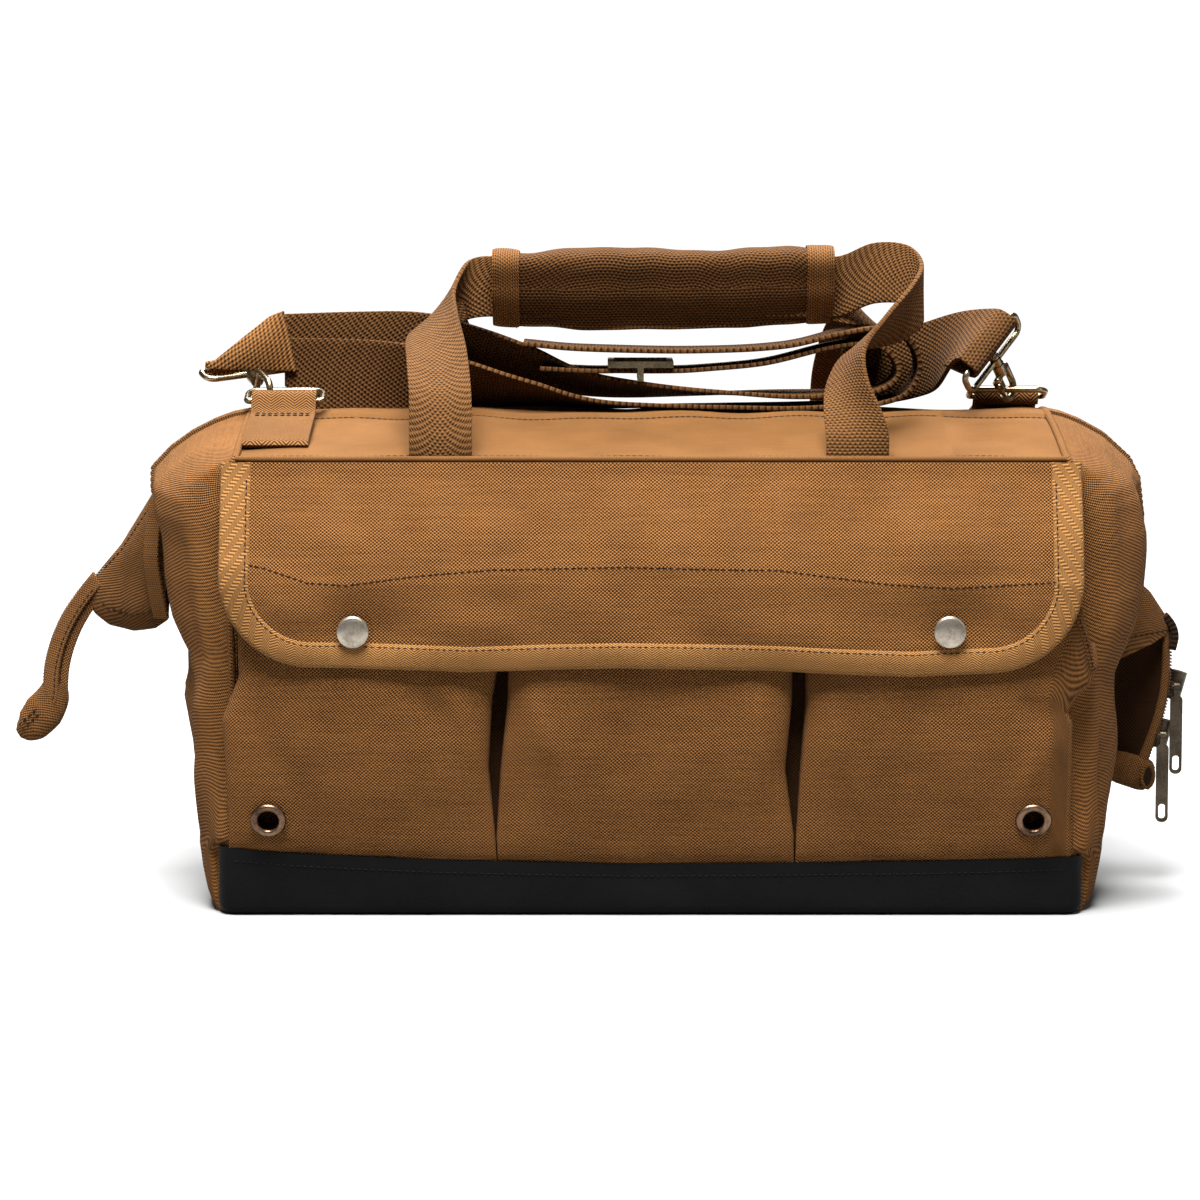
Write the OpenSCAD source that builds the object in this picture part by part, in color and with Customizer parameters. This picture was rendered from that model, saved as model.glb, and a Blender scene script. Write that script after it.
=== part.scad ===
// Wide-mouth canvas tool bag: cloth body on a black base, snap flap, zip top, wrapped grip, shoulder strap.
// Millimetres. X runs left to right, Y front to back, Z up. The origin is the middle of the base's underside.

/* [Body] */
// Width of the base, left to right
base_w = 432; // [410:2:450]
// Depth of the base, front to back
base_d = 208; // [200:2:220]
// Height of the black base wrap
base_h = 33; // [28:1:40]
// Thickness of the base wrap
base_t = 2.3; // [2:0.1:2.6]
// Corner radius of the base in plan
base_r = 10; // [8:1:14]
// Height of the seams that join the walls to the top
seam_h = 228; // [222:1:236]
// Rise of the crowned top above those seams
crown_rise = 18; // [16:1:20]
// How far each end panel bulges past the base
end_bulge = 40; // [32:1:44]
// Thickness of the doubled canvas
cloth_t = 2; // [1.8:0.1:2.2]
// Thickness of the stiffening board in the base
board_t = 3; // [2:0.5:4]

/* [Mouth and zip] */
// Length of the part of the mouth that folds down
mouth_w = 300; // [280:2:310]
// Depth of each sewn border outside the mouth
border_d = 16; // [14:1:18]
// Radius of the zip's coil
coil_r = 1.5; // [1.3:0.1:1.6]
// Distance from the zip's middle to each coil's edge
coil_gap = 1.1; // [1:0.1:1.3]
// Width of each zip tape
tape_w = 10; // [8:1:12]
// Thickness of the zip tape
tape_t = 0.8; // [0.6:0.1:1]

/* [Flap] */
// Width of the flap
flap_w = 420; // [400:2:424]
// Height of the flap, from its seam to its lower edge
flap_h = 103; // [96:1:108]
// Radius of the flap's lower corners
flap_r = 44; // [30:1:48]
// Thickness of the flap
flap_t = 2.4; // [2.2:0.1:2.6]
// Width of the binding round the flap
bind_w = 12; // [9:1:12]
// Thickness of the binding
bind_t = 0.8; // [0.6:0.1:0.9]
// Distance between the two snaps
snap_span = 293; // [280:1:300]
// Height of the snaps above the flap's lower edge
snap_up = 20; // [20:1:23]
// Radius of a snap's cap
snap_r = 8; // [6.5:0.5:8]

/* [Pockets] */
// Height of the pockets' mouths above the ground
pocket_h = 165; // [155:1:170]
// How far the front pockets stand off the wall
pocket_bulge = 17; // [14:0.5:18]
// Width of the middle front pocket
middle_w = 143; // [136:1:148]
// Width of the pleat between two front pockets
pleat_w = 6; // [5:0.5:8]
// How far the rear pocket stands off the wall
rear_bulge = 9; // [8:0.5:12]
// Height of the sewn hem round a pocket's mouth
hem_h = 12; // [10:1:14]
// Radius of an eyelet's rim
eyelet_r = 9; // [8:0.5:10]
// Radius of an eyelet's hole
eyelet_hole_r = 5; // [4:0.5:5.5]

/* [Handles and grip] */
// Width of the handle webbing
handle_w = 31; // [28:0.5:32]
// Thickness of the webbing
web_t = 2.2; // [2:0.1:2.4]
// Distance between the middles of a handle's two legs
handle_span = 206; // [196:2:216]
// Height of the grip's middle above the front seam
grip_rise = 82; // [78:1:88]
// Length of the grip wrap
grip_l = 172; // [160:2:176]
// Radius of the grip wrap's rounded top and bottom
grip_r = 15; // [14:0.5:16]
// Overall height of the grip wrap
grip_h = 42; // [41:0.5:43]

/* [Shoulder strap and fittings] */
// Width of the shoulder strap's webbing
strap_w = 38; // [34:0.5:39]
// Radius of the wire of the rings and loops
wire_r = 1.6; // [1.4:0.1:1.7]
// Width of the webbing tab that holds a ring
tab_w = 33; // [30:0.5:34]
// Distance between the middles of the two ring tabs
tab_span = 374; // [370:1:378]
// Outside width of a ring
ring_w = 42; // [41:0.5:44]
// Outside depth of a ring
ring_d = 20; // [19:0.5:22]
// Outside width of a strap loop
loop_w = 51; // [48:0.5:54]
// Outside depth of a strap loop
loop_d = 15; // [14:0.5:17]
// Radius of a snap hook's wire
hook_r = 1.8; // [1.6:0.1:1.9]
// Radius of the snap hook's bow
bow_r = 5.6; // [5.3:0.1:5.8]

/* [Zip tails and sliders] */
// Width of the zip where it hangs free past each end
tail_w = 16; // [14:0.5:18]
// Thickness of the folded zip tail
tail_t = 5; // [4:0.5:6]
// Radius of a slider's body
slider_r = 4.6; // [4.2:0.1:5]
// Length of a slider's body
slider_l = 15; // [12:0.5:17]
// Length of a pull tab
pull_l = 46; // [40:1:48]
// Width of a pull tab
pull_w = 6.4; // [5.6:0.1:6.5]
// Thickness of a pull tab
pull_t = 1.6; // [1.4:0.1:1.8]

/* [Hidden] */
$fn = 48;

// Colours as the photograph shows them
canvas_c = "#96643a";
light_canvas_c = "#b2804a";
webbing_c = "#8a5c34";
base_c = "#1b1b1d";
brass_c = "#8c7a58";
pewter_c = "#b9b2a6";

// One overrun for all cuts, the usual gap between parts that move apart, and the room round a pin
over = 1;
gap = 0.3;
pin_room = 0.06;

// Places that follow from the sizes above
panel_y = base_d / 2 - base_t;
corner_x = base_w / 2 - base_r;
seam_lap = base_h / 2;
ridge_z = seam_h + crown_rise;
grip_z = seam_h + grip_rise;
crown_power_share = 2.6;
plan_power_share = 0.6;
mouth_y = panel_y - border_d;
canvas_edge_y = coil_gap + coil_r * 2;

// Height of the crowned top at a distance from the middle
function crown(y) = seam_h + crown_rise * (1 - pow(min(1, abs(y) / panel_y), crown_power_share));

// A list of evenly spaced numbers
function steps(a, b, n) = [for (i = [0 : n]) a + (b - a) * i / n];

// A solid between two equal grids of points: the outer skin and the inner skin
module sheet(outer, inner) {
    n = len(outer);
    m = len(outer[0]);
    k = n * m;
    function a(i, j) = i * m + j;
    function b(i, j) = k + i * m + j;
    function quad(p, q, r, s) = [[p, q, r], [p, r, s]];
    skins = [for (i = [0 : n - 2]) for (j = [0 : m - 2]) each concat(
        quad(a(i, j), a(i + 1, j), a(i + 1, j + 1), a(i, j + 1)),
        quad(b(i, j), b(i, j + 1), b(i + 1, j + 1), b(i + 1, j)))];
    ends = [for (j = [0 : m - 2]) each concat(
        quad(a(0, j), a(0, j + 1), b(0, j + 1), b(0, j)),
        quad(a(n - 1, j), b(n - 1, j), b(n - 1, j + 1), a(n - 1, j + 1)))];
    sides = [for (i = [0 : n - 2]) each concat(
        quad(a(i, 0), b(i, 0), b(i + 1, 0), a(i + 1, 0)),
        quad(a(i, m - 1), a(i + 1, m - 1), b(i + 1, m - 1), b(i, m - 1)))];
    polyhedron([for (row = outer) each row, for (row = inner) each row], concat(skins, ends, sides));
}

// Catmull-Rom interpolation through a list of vectors
function spline_at(p, i, t) =
    let (a = p[max(0, i - 1)], b = p[i], c = p[i + 1], d = p[min(len(p) - 1, i + 2)])
    (2 * b + (c - a) * t + (2 * a - 5 * b + 4 * c - d) * t * t
        + (3 * b - a - 3 * c + d) * t * t * t) / 2;
function smooth(p, n) = [for (i = [0 : len(p) - 2]) for (k = [0 : n - 1]) spline_at(p, i, k / n),
                         p[len(p) - 1]];
function unit(v) = v / norm(v);
function place(s) = [s[0], s[1], s[2]];
function width_way(s) = [s[3], s[4], s[5]];

// A flat band swept along stations of place and width direction
module ribbon(stations, w, t) {
    last = len(stations) - 1;
    along = [for (i = [0 : last])
        unit(place(stations[min(last, i + 1)]) - place(stations[max(0, i - 1)]))];
    across = [for (i = [0 : last])
        let (u = width_way(stations[i])) unit(u - along[i] * (u * along[i]))];
    face = [for (i = [0 : last]) cross(across[i], along[i])];
    function edge(i, side, lift) = place(stations[i]) + across[i] * side * w / 2 + face[i] * lift * t / 2;
    sheet([for (i = [0 : last]) [edge(i, -1, 1), edge(i, 1, 1)]],
          [for (i = [0 : last]) [edge(i, -1, -1), edge(i, 1, -1)]]);
}

// A rectangle with rounded corners, centred
module rounded(w, d, r) {
    square([w - 2 * r, d], center = true);
    square([w, d - 2 * r], center = true);
    for (x = [-1, 1], y = [-1, 1]) translate([x * (w / 2 - r), y * (d / 2 - r)]) circle(r);
}

// Black base wrap, open at the top
module base() {
    edge_drop = base_t;
    color(base_c) difference() {
        union() {
            translate([0, 0, edge_drop]) linear_extrude(base_h - edge_drop) rounded(base_w, base_d, base_r);
            linear_extrude(edge_drop)
                rounded(base_w - edge_drop, base_d - edge_drop, base_r - edge_drop / 2);
        }
        translate([0, 0, base_t]) linear_extrude(base_h)
            rounded(base_w - 2 * base_t, base_d - 2 * base_t, base_r - base_t);
    }
}

// Stiffening board that lies on the floor of the bag
module base_board() {
    board_w = 2 * (corner_x - cloth_t - gap);
    board_d = 2 * (panel_y - cloth_t - gap);
    color("#3a352c") translate([0, 0, base_t]) linear_extrude(board_t) rounded(board_w, board_d, base_r);
}

// A flat wall behind the pockets, sewn inside the base
module wall_panel(side) {
    foot = base_h - seam_lap;
    y = side < 0 ? -panel_y : panel_y - cloth_t;
    half = corner_x - cloth_t;
    color(canvas_c) translate([-half, y, foot]) cube([2 * half, cloth_t, seam_h - cloth_t - foot]);
}
module front_panel() { wall_panel(-1); }
module rear_panel() { wall_panel(1); }

// Share of the bulge of an end panel at each share of its height, from the base to the ridge
bulge_shares = [[0, 0], [0.06, 0.22], [0.2, 0.35], [0.38, 0.47], [0.55, 0.7], [0.7, 0.92], [0.82, 1],
                [0.89, 0.86], [0.945, 0.5], [0.98, 0.12], [1, -0.25]];
end_turns = steps(-90, 90, 12);
// Place on an end panel's skin: turn goes round the end, row goes up it
function end_place(side, turn, row, inset) =
    let (y = (panel_y - inset) * sin(turn),
         round_share = pow(abs(cos(turn)), plan_power_share),
         out = base_r + bulge_shares[row][1] * end_bulge - (row == 0 ? base_t : 0),
         x = corner_x - inset + max(0, out) * round_share,
         z = base_h + bulge_shares[row][0] * (crown(y) - inset - base_h))
    [side * x, y, z];
function end_foot(side, turn, inset) =
    let (p = end_place(side, turn, 0, inset)) [p[0], p[1], base_h - seam_lap];
function end_grid(side, inset) = [
    [for (turn = end_turns) end_foot(side, turn, inset)],
    for (row = [0 : len(bulge_shares) - 1]) [for (turn = end_turns) end_place(side, turn, row, inset)]];
module end_panel(side) {
    color(canvas_c) {
        if (side > 0) sheet(end_grid(side, 0), end_grid(side, cloth_t));
        else sheet(end_grid(side, cloth_t), end_grid(side, 0));
    }
}
module left_end() { end_panel(-1); }
module right_end() { end_panel(1); }

// Part of the crowned top between two depths and two widths
module top_piece(x0, x1, y0, y1) {
    rows = steps(y0, y1, 6);
    sheet([for (y = rows) [[x0, y, crown(y)], [x1, y, crown(y)]]],
          [for (y = rows) [[x0, y, crown(y) - cloth_t], [x1, y, crown(y) - cloth_t]]]);
}
// The sewn border of the mouth that stays put, drawn for the front and turned round for the rear
module top_border() {
    color(light_canvas_c) {
        half = corner_x - cloth_t;
        top_piece(-half, half, -panel_y, -mouth_y - gap);
        for (s = [0, 1]) mirror([s, 0, 0])
            top_piece(mouth_w / 2 + gap, half, -mouth_y - gap, -canvas_edge_y);
    }
}
module top_front_border() { top_border(); }
module top_rear_border() { rotate(180) top_border(); }

// One half of the mouth, which folds down into the bag
module mouth_half() {
    color(light_canvas_c) top_piece(-mouth_w / 2, mouth_w / 2, -mouth_y, -canvas_edge_y);
}
module mouth_front() { mouth_half(); }
module mouth_rear() { rotate(180) mouth_half(); }

// A length of zip: tape under the canvas edge, with its coil
module zip_run(x0, x1) {
    tape_top = crown(canvas_edge_y + tape_w) - cloth_t - gap / 3;
    color("#5a3c22") {
        translate([x0, -canvas_edge_y - tape_w, tape_top - tape_t])
            cube([x1 - x0, tape_w + coil_r, tape_t]);
        translate([x0, -coil_gap - coil_r, tape_top - tape_t + coil_r]) rotate([0, 90, 0])
            cylinder(x1 - x0, coil_r, coil_r);
    }
}
module zip_front() { zip_run(-mouth_w / 2, mouth_w / 2); }
module zip_rear() { rotate(180) zip_run(-mouth_w / 2, mouth_w / 2); }
module zip_ends() {
    for (turn = [0, 180]) rotate(turn) for (s = [0, 1]) mirror([s, 0, 0])
        zip_run(mouth_w / 2 + gap, corner_x - cloth_t - gap);
}

// Share of a pocket's bulge at each share of its height
pocket_shares = [[0, 0], [0.1, 0.3], [0.22, 0.58], [0.4, 0.86], [0.62, 1], [0.84, 0.96], [1, 0.93]];
pocket_corner_share = 0.35;
pocket_turns = steps(-90, 90, 20);
pocket_rise = pocket_h - base_h;
side_pocket_w = corner_x - middle_w / 2 - pleat_w;
side_pocket_x = (corner_x + middle_w / 2 + pleat_w) / 2;
function power_of(v, share) = sign(v) * pow(abs(v), share);
// Depth of a pocket off the wall at a height
function pocket_depth(z, bulge) =
    base_t + (bulge - base_t) * lookup((z - base_h) / pocket_rise, pocket_shares);
// One row of a pocket's skin, grown outwards by a distance
function pocket_row(x, w, bulge, z, grow) = [for (turn = pocket_turns)
    [x + (w / 2 + grow) * power_of(sin(turn), pocket_corner_share),
     -panel_y - (pocket_depth(z, bulge) + grow) * power_of(cos(turn), pocket_corner_share), z]];
function pocket_grid(x, w, bulge, grow) =
    [for (s = pocket_shares) pocket_row(x, w, bulge, base_h + s[0] * pocket_rise, grow)];
module pocket(x, w, bulge) {
    wall = cloth_t;
    color(canvas_c) sheet(pocket_grid(x, w, bulge, 0), pocket_grid(x, w, bulge, -wall));
}

// Place and tilt of an eyelet on the foot of a side pocket
eyelet_off_share = 0.375;
eyelet_x = side_pocket_x + side_pocket_w * eyelet_off_share;
eyelet_z = base_h + base_h / 2;
eyelet_tilt = 90 + atan((pocket_bulge - base_t) * pocket_shares[2][1] / (pocket_rise * pocket_shares[2][0]));
// How far round the pocket's plan the eyelet sits, and its share of the depth there
eyelet_round_share = pow(cos(asin(pow(2 * eyelet_off_share, 1 / pocket_corner_share))), pocket_corner_share);
module at_eyelet(side) {
    out = pocket_depth(eyelet_z, pocket_bulge) * eyelet_round_share;
    translate([side * eyelet_x, -panel_y - out, eyelet_z])
        rotate([eyelet_tilt, 0, 0]) children();
}
eyelet_tube = 1;
module side_pocket(side) {
    difference() {
        pocket(side * side_pocket_x, side_pocket_w, pocket_bulge);
        at_eyelet(side) translate([0, 0, -cloth_t * 2])
            cylinder(h = cloth_t * 4, r = eyelet_hole_r + eyelet_tube + gap);
    }
}
module left_pocket() { side_pocket(-1); }
module right_pocket() { side_pocket(1); }
module middle_pocket() { pocket(0, middle_w, pocket_bulge); }
module rear_pocket() { rotate(180) pocket(0, 2 * corner_x, rear_bulge); }

// Folded hem round each front pocket's mouth
module pocket_hem(x, w) {
    zs = [pocket_h - hem_h, pocket_h];
    sheet([for (z = zs) pocket_row(x, w, pocket_bulge, z, bind_t)],
          [for (z = zs) pocket_row(x, w, pocket_bulge, z, 0)]);
}
module pocket_hems() {
    color(light_canvas_c) {
        pocket_hem(0, middle_w);
        for (side = [-1, 1]) pocket_hem(side * side_pocket_x, side_pocket_w);
    }
}

// Rolled brass rim, tube through the cloth and washer behind it
module eyelets() {
    rim = (eyelet_r - eyelet_hole_r) / 2;
    back = cloth_t + 3 * gap + eyelet_tube;
    color("#7a5a40") for (side = [-1, 1]) at_eyelet(side) rotate_extrude() {
        translate([eyelet_hole_r + rim, rim * 0.4 + gap]) difference() {
            circle(rim);
            translate([-rim, -2 * rim - rim * 0.4]) square(2 * rim);
        }
        translate([eyelet_hole_r, -back]) square([eyelet_tube, back + gap + rim * 0.4]);
        translate([eyelet_hole_r, -back]) square([2 * rim, eyelet_tube]);
    }
}

// The flap hangs from its seam, clears the pockets and falls straight over the snaps
snap_room = 3;
flap_foot = seam_h - flap_h;
hinge_y = panel_y + gap + flap_t / 2 + bind_t;
hinge_z = seam_h - cloth_t;
flap_out = panel_y + pocket_bulge + snap_room + flap_t / 2 - hinge_y;
// Share of the way down, and the share of the way out there
drape_shares = [[0, 0], [0.06, 0.09], [0.14, 0.27], [0.25, 0.52], [0.37, 0.76], [0.48, 0.92], [0.58, 1],
                [1, 1]];
function drape(t) = [for (s = drape_shares)
    [-hinge_y - s[1] * flap_out - t / 2, hinge_z - s[0] * (hinge_z - flap_foot + over)]];
module flap_profile(t) {
    outer = drape(t);
    inner = drape(-t);
    translate([-flap_w, 0, 0]) rotate([90, 0, 90]) linear_extrude(2 * flap_w)
        polygon([each outer, for (i = [len(inner) - 1 : -1 : 0]) inner[i]]);
}
// Outline of the flap from the front, grown outwards by a distance
module flap_outline(grow, top) {
    r = flap_r + grow;
    half = flap_w / 2 + grow;
    foot = flap_foot - grow;
    translate([0, -hinge_y / 2, 0]) rotate([90, 0, 0]) linear_extrude(base_d) {
        translate([-half, foot + r]) square([2 * half, top - foot - r]);
        translate([r - half, foot]) square([2 * (half - r), r + over]);
        for (s = [-1, 1]) translate([s * (half - r), foot + r]) circle(r);
    }
}
module flap() {
    color(canvas_c) intersection() {
        flap_profile(flap_t);
        flap_outline(-bind_t, hinge_z);
    }
}
module flap_binding() {
    color(light_canvas_c) difference() {
        intersection() {
            flap_profile(flap_t + 2 * bind_t);
            flap_outline(0, hinge_z);
        }
        flap_outline(-bind_w, hinge_z + over);
        intersection() {
            flap_profile(flap_t);
            flap_outline(-bind_t, hinge_z + over);
        }
    }
}

// Press snaps: domed cap and socket on the flap, stud on the pocket
snap_z = flap_foot + snap_up;
flap_face_y = hinge_y + flap_out + flap_t / 2;
flap_back_y = flap_face_y - flap_t;
stud_r = 3;
dome_h = 2.4;
module at_snaps(y) {
    for (side = [-1, 1]) translate([side * snap_span / 2, -y, snap_z]) rotate([90, 0, 0]) children();
}
module snap_caps() {
    rim_h = dome_h / 3;
    color(pewter_c) at_snaps(flap_face_y) rotate_extrude()
        polygon([[0, 0], [snap_r, 0], [snap_r, rim_h],
                 for (a = [15 : 15 : 90]) [snap_r * cos(a), rim_h + (dome_h - rim_h) * sin(a)]]);
}
module snap_sockets() {
    socket_h = snap_room / 2;
    color(pewter_c) at_snaps(flap_back_y - socket_h) difference() {
        cylinder(h = socket_h, r = 2 * stud_r);
        translate([0, 0, -over]) cylinder(h = snap_room * 2, r = stud_r + snap_room / 4);
    }
}
module snap_studs() {
    seat_y = panel_y + pocket_depth(snap_z, pocket_bulge) + gap / 3;
    post = flap_back_y - gap - seat_y;
    color(pewter_c) at_snaps(seat_y) {
        cylinder(h = post / 4, r = stud_r * 1.8);
        cylinder(h = post, r = stud_r);
    }
}

// Handles: each route gives shares of the half span, of the wall's depth and of the height up to the grip
grip_x = base_w / 60;
grip_y = 4;
leg_y = panel_y - web_t / 2;
foot_z = crown(panel_y - web_t) + gap;
half_span = handle_span / 2;
band_y = web_t / 2 + gap * 2;
// Left leg, seen from the front: foot first, then the turn into the grip
left_leg_shares = [
    [-1.01, 1, 0, 1, 0, 0], [-1.01, 0.985, 0.14, 1, 0, 0], [-1.01, 0.88, 0.38, 1, 0, -0.02],
    [-1.02, 0.68, 0.62, 0.98, 0, -0.2], [-0.99, 0.46, 0.82, 0.84, 0, -0.54],
    [-0.92, 0.22, 0.95, 0.42, 0, -0.9], [-0.83, 0.03, 1, 0.08, 0, -1]];
// Right leg of the rear handle, from the grip down to the foot
rear_leg_shares = [
    [0.96, 0.03, 1, -0.08, 0, -1], [1, 0.22, 0.95, -0.42, 0, -0.9], [1.02, 0.46, 0.8, -0.84, 0, -0.54],
    [1.03, 0.68, 0.6, -0.98, 0, -0.2], [1.01, 0.88, 0.38, -1, 0, -0.02],
    [1.01, 0.985, 0.14, -1, 0, 0], [1.01, 1, 0, -1, 0, 0]];
// Right leg of the front handle, which curls out to the right before it comes down
curl_shares = [
    [0.97, 0.03, 1.01, 0, 0, -1], [1.12, 0.12, 1.09, 0, -0.1, -1], [1.28, 0.22, 1.08, 0, -0.2, -1],
    [1.34, 0.33, 0.99, 0, 0, -1], [1.26, 0.46, 0.88, -0.3, 0.3, -0.9], [1.12, 0.6, 0.76, -0.6, 0.5, -0.6],
    [1.01, 0.74, 0.58, -0.85, 0.45, -0.25], [0.98, 0.88, 0.36, -1, 0.15, 0],
    [0.99, 0.985, 0.14, -1, 0, 0], [0.99, 1, 0, -1, 0, 0]];
function leg_station(s, side) =
    [s[0] * half_span, side * (s[1] * leg_y + (1 - s[1]) * band_y) - (1 - s[1]) * grip_y,
     foot_z + s[2] * (grip_z - foot_z), s[3], side * s[4] * -1, s[5]];
function grip_station(x, side) = [grip_x + x * grip_l / 2, side * band_y - grip_y, grip_z, 0, 0, -1];
module handle(side, right_shares) {
    route = [for (s = left_leg_shares) leg_station(s, side),
             for (x = [-0.95, -0.4, 0.4, 0.95]) grip_station(x, side),
             for (s = right_shares) leg_station(s, side)];
    color(webbing_c) ribbon(smooth(route, 3), handle_w, web_t);
}
module front_handle() { handle(-1, curl_shares); }
module rear_handle() { handle(1, rear_leg_shares); }

// Padded wrap that holds both handles together, with a slot for their bands
module grip_shape(grow) {
    r = grip_r + grow;
    flat = grip_h - 2 * grip_r;
    square([2 * r, flat], center = true);
    for (s = [-1, 1]) translate([0, s * flat / 2]) circle(r);
}
module grip_run(x0, length) {
    translate([grip_x + x0, -grip_y, grip_z]) rotate([90, 0, 90]) linear_extrude(length) children();
}
module grip_wrap() {
    slot_w = 2 * (band_y + web_t / 2 + 2 * gap);
    color(webbing_c) difference() {
        grip_run(-grip_l / 2, grip_l) grip_shape(0);
        grip_run(-grip_l / 2 - over, grip_l + 2 * over)
            square([slot_w, handle_w + 2 * gap], center = true);
    }
}
module grip_bindings() {
    color(light_canvas_c) for (x0 = [-grip_l / 2, grip_l / 2 - bind_w]) difference() {
        grip_run(x0, bind_w) grip_shape(bind_t);
        grip_run(x0 - over, bind_w + 2 * over) grip_shape(0);
    }
}

// Webbing tabs sewn to the crown, one front left and one rear right, each with a sleeve for its ring
tab_x = tab_span / 2;
tab_t = 2 * web_t;
sleeve_r = wire_r + gap + web_t;
bar_y = -base_d / 10;
bar_z = crown(bar_y) + sleeve_r + web_t;
tab_shares = [0.8, 0.7, 0.6, 0.5, 0.4, 0.3];
module ring_tab() {
    stations = [for (s = tab_shares)
                    [-tab_x, -s * panel_y, crown(s * panel_y) + tab_t / 2 + gap, 1, 0, 0],
                [-tab_x, bar_y - sleeve_r / 2, bar_z, 1, 0, 0]];
    difference() {
        union() {
            ribbon(stations, tab_w, tab_t);
            translate([-tab_x - tab_w / 2, bar_y, bar_z]) rotate([0, 90, 0])
                cylinder(h = tab_w, r = sleeve_r);
        }
        translate([-tab_x - tab_w, bar_y, bar_z]) rotate([0, 90, 0])
            cylinder(h = 2 * tab_w, r = wire_r + gap);
    }
}
module ring_tabs() {
    color(webbing_c) for (turn = [0, 180]) rotate(turn) ring_tab();
}

// A wire bent to a rounded loop: its near bar lies along X through the origin, its far bar beyond it in Y
module wire_loop(w, d, near_r, far_r, wire) {
    half = w / 2 - wire;
    far = d - 2 * wire;
    module bar(x, y, length, turn) {
        translate([x, y, 0]) rotate([0, 0, turn]) rotate([0, 90, 0]) cylinder(h = length, r = wire);
    }
    module bend(x, y, r, turn) {
        translate([x, y, 0]) rotate(turn) rotate_extrude(angle = 90) translate([r, 0]) circle(wire);
    }
    bar(near_r - half, 0, 2 * (half - near_r), 0);
    bar(far_r - half, far, 2 * (half - far_r), 0);
    for (s = [-1, 1]) bar(s * half, near_r, far - near_r - far_r, 90);
    bend(half - near_r, near_r, near_r, -90);
    bend(near_r - half, near_r, near_r, 180);
    bend(half - far_r, far - far_r, far_r, 0);
    bend(far_r - half, far - far_r, far_r, 90);
}
ring_lift = 15;
ring_near_r = wire_r * 1.15;
ring_far_r = ring_d * 0.3;
module tab_ring() {
    color(brass_c) translate([-tab_x, bar_y, bar_z]) rotate([ring_lift, 0, 0])
        wire_loop(ring_w, ring_d, ring_near_r, ring_far_r, wire_r);
}
module left_ring() { tab_ring(); }
module right_ring() { rotate(180) tab_ring(); }

// Snap hooks: drawn with the swivel's axis along Y, then turned to where the photograph shows them
left_yaw = 28;
left_pitch = 20;
left_roll = -6;
right_yaw = 147;
right_pitch = 46;
right_roll = 77;
hook_shift = ring_w / 4;
ring_far = ring_d - 2 * wire_r;
left_far_bar = [-tab_x, bar_y + ring_far * cos(ring_lift), bar_z + ring_far * sin(ring_lift)];
// The ring's far bar rests in the end of the hook's bow
hold = bow_r - hook_r - wire_r - 3.2 * gap;
left_eye = left_far_bar - [hook_shift, 0, 0] + swivel_way(left_yaw, left_pitch) * hold;
right_eye = [-left_far_bar[0], -left_far_bar[1], left_far_bar[2]]
    + swivel_way(right_yaw, right_pitch) * hold;
module at_hook(eye, yaw, pitch) {
    translate(eye) rotate([0, 0, yaw]) rotate([pitch, 0, 0]) children();
}
module at_left_hook() { at_hook(left_eye, left_yaw, left_pitch) children(); }
module at_right_hook() { at_hook(right_eye, right_yaw, right_pitch) children(); }
function swivel_way(yaw, pitch) = [-sin(yaw) * cos(pitch), cos(yaw) * cos(pitch), sin(pitch)];
// Direction of a loop's far bar, once the loop has rolled about the swivel
function bar_way(yaw, pitch, roll) =
    [cos(yaw), sin(yaw), 0] * cos(roll)
    - [sin(yaw) * sin(pitch), -cos(yaw) * sin(pitch), cos(pitch)] * sin(roll);

hook_l = 2 * bow_r;
barrel_l = 7;
barrel_r = 3.4;
pin_r = 1.5;
boss_l = 4;
boss_r = 3;
gate_r = 1.1;
gate_pin_r = 0.6;
gate_pin_y = hook_l - 2.6 * hook_r;
tip_y = hook_r / 2;
loop_y = hook_l + barrel_l + gap + boss_l / 2;
// Bow, back, shoulder, barrel and swivel pin, with two ears that hold the gate's pin
module snap_hook() {
    module side_bar(z, y0, y1) {
        translate([0, y0, z]) rotate([-90, 0, 0]) cylinder(h = y1 - y0, r = hook_r);
    }
    ear_t = hook_r / 2;
    ear_x = hook_r / 2 + gap * 2;
    ear_r = gate_pin_r * 2.5;
    rotate([90, 0, 90]) rotate(90) rotate_extrude(angle = 180) translate([bow_r, 0]) circle(hook_r);
    side_bar(bow_r, 0, hook_l);
    side_bar(-bow_r, 0, tip_y);
    translate([0, hook_l, bow_r]) sphere(hook_r);
    translate([0, hook_l, -bow_r]) sphere(hook_r);
    translate([0, hook_l, -bow_r]) cylinder(h = 2 * bow_r, r = hook_r);
    translate([0, hook_l, 0]) rotate([-90, 0, 0]) cylinder(h = barrel_l, r = barrel_r);
    translate([0, hook_l, 0]) rotate([-90, 0, 0])
        cylinder(h = barrel_l + boss_l + 3 * gap, r = pin_r);
    translate([0, loop_y + boss_l / 2 + gap, 0]) rotate([-90, 0, 0])
        cylinder(h = pin_r, r = pin_r * 1.7);
    for (s = [-1, 1]) translate([s * (ear_x + ear_t / 2), gate_pin_y, -bow_r]) {
        rotate([0, 90, 0]) cylinder(h = ear_t, r = ear_r, center = true);
        translate([-ear_t / 2, 0, -ear_r]) cube([ear_t, hook_l - gate_pin_y, 2 * ear_r]);
    }
    translate([-ear_x - ear_t / 2, gate_pin_y, -bow_r]) rotate([0, 90, 0])
        cylinder(h = 2 * ear_x + ear_t, r = gate_pin_r);
}
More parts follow.
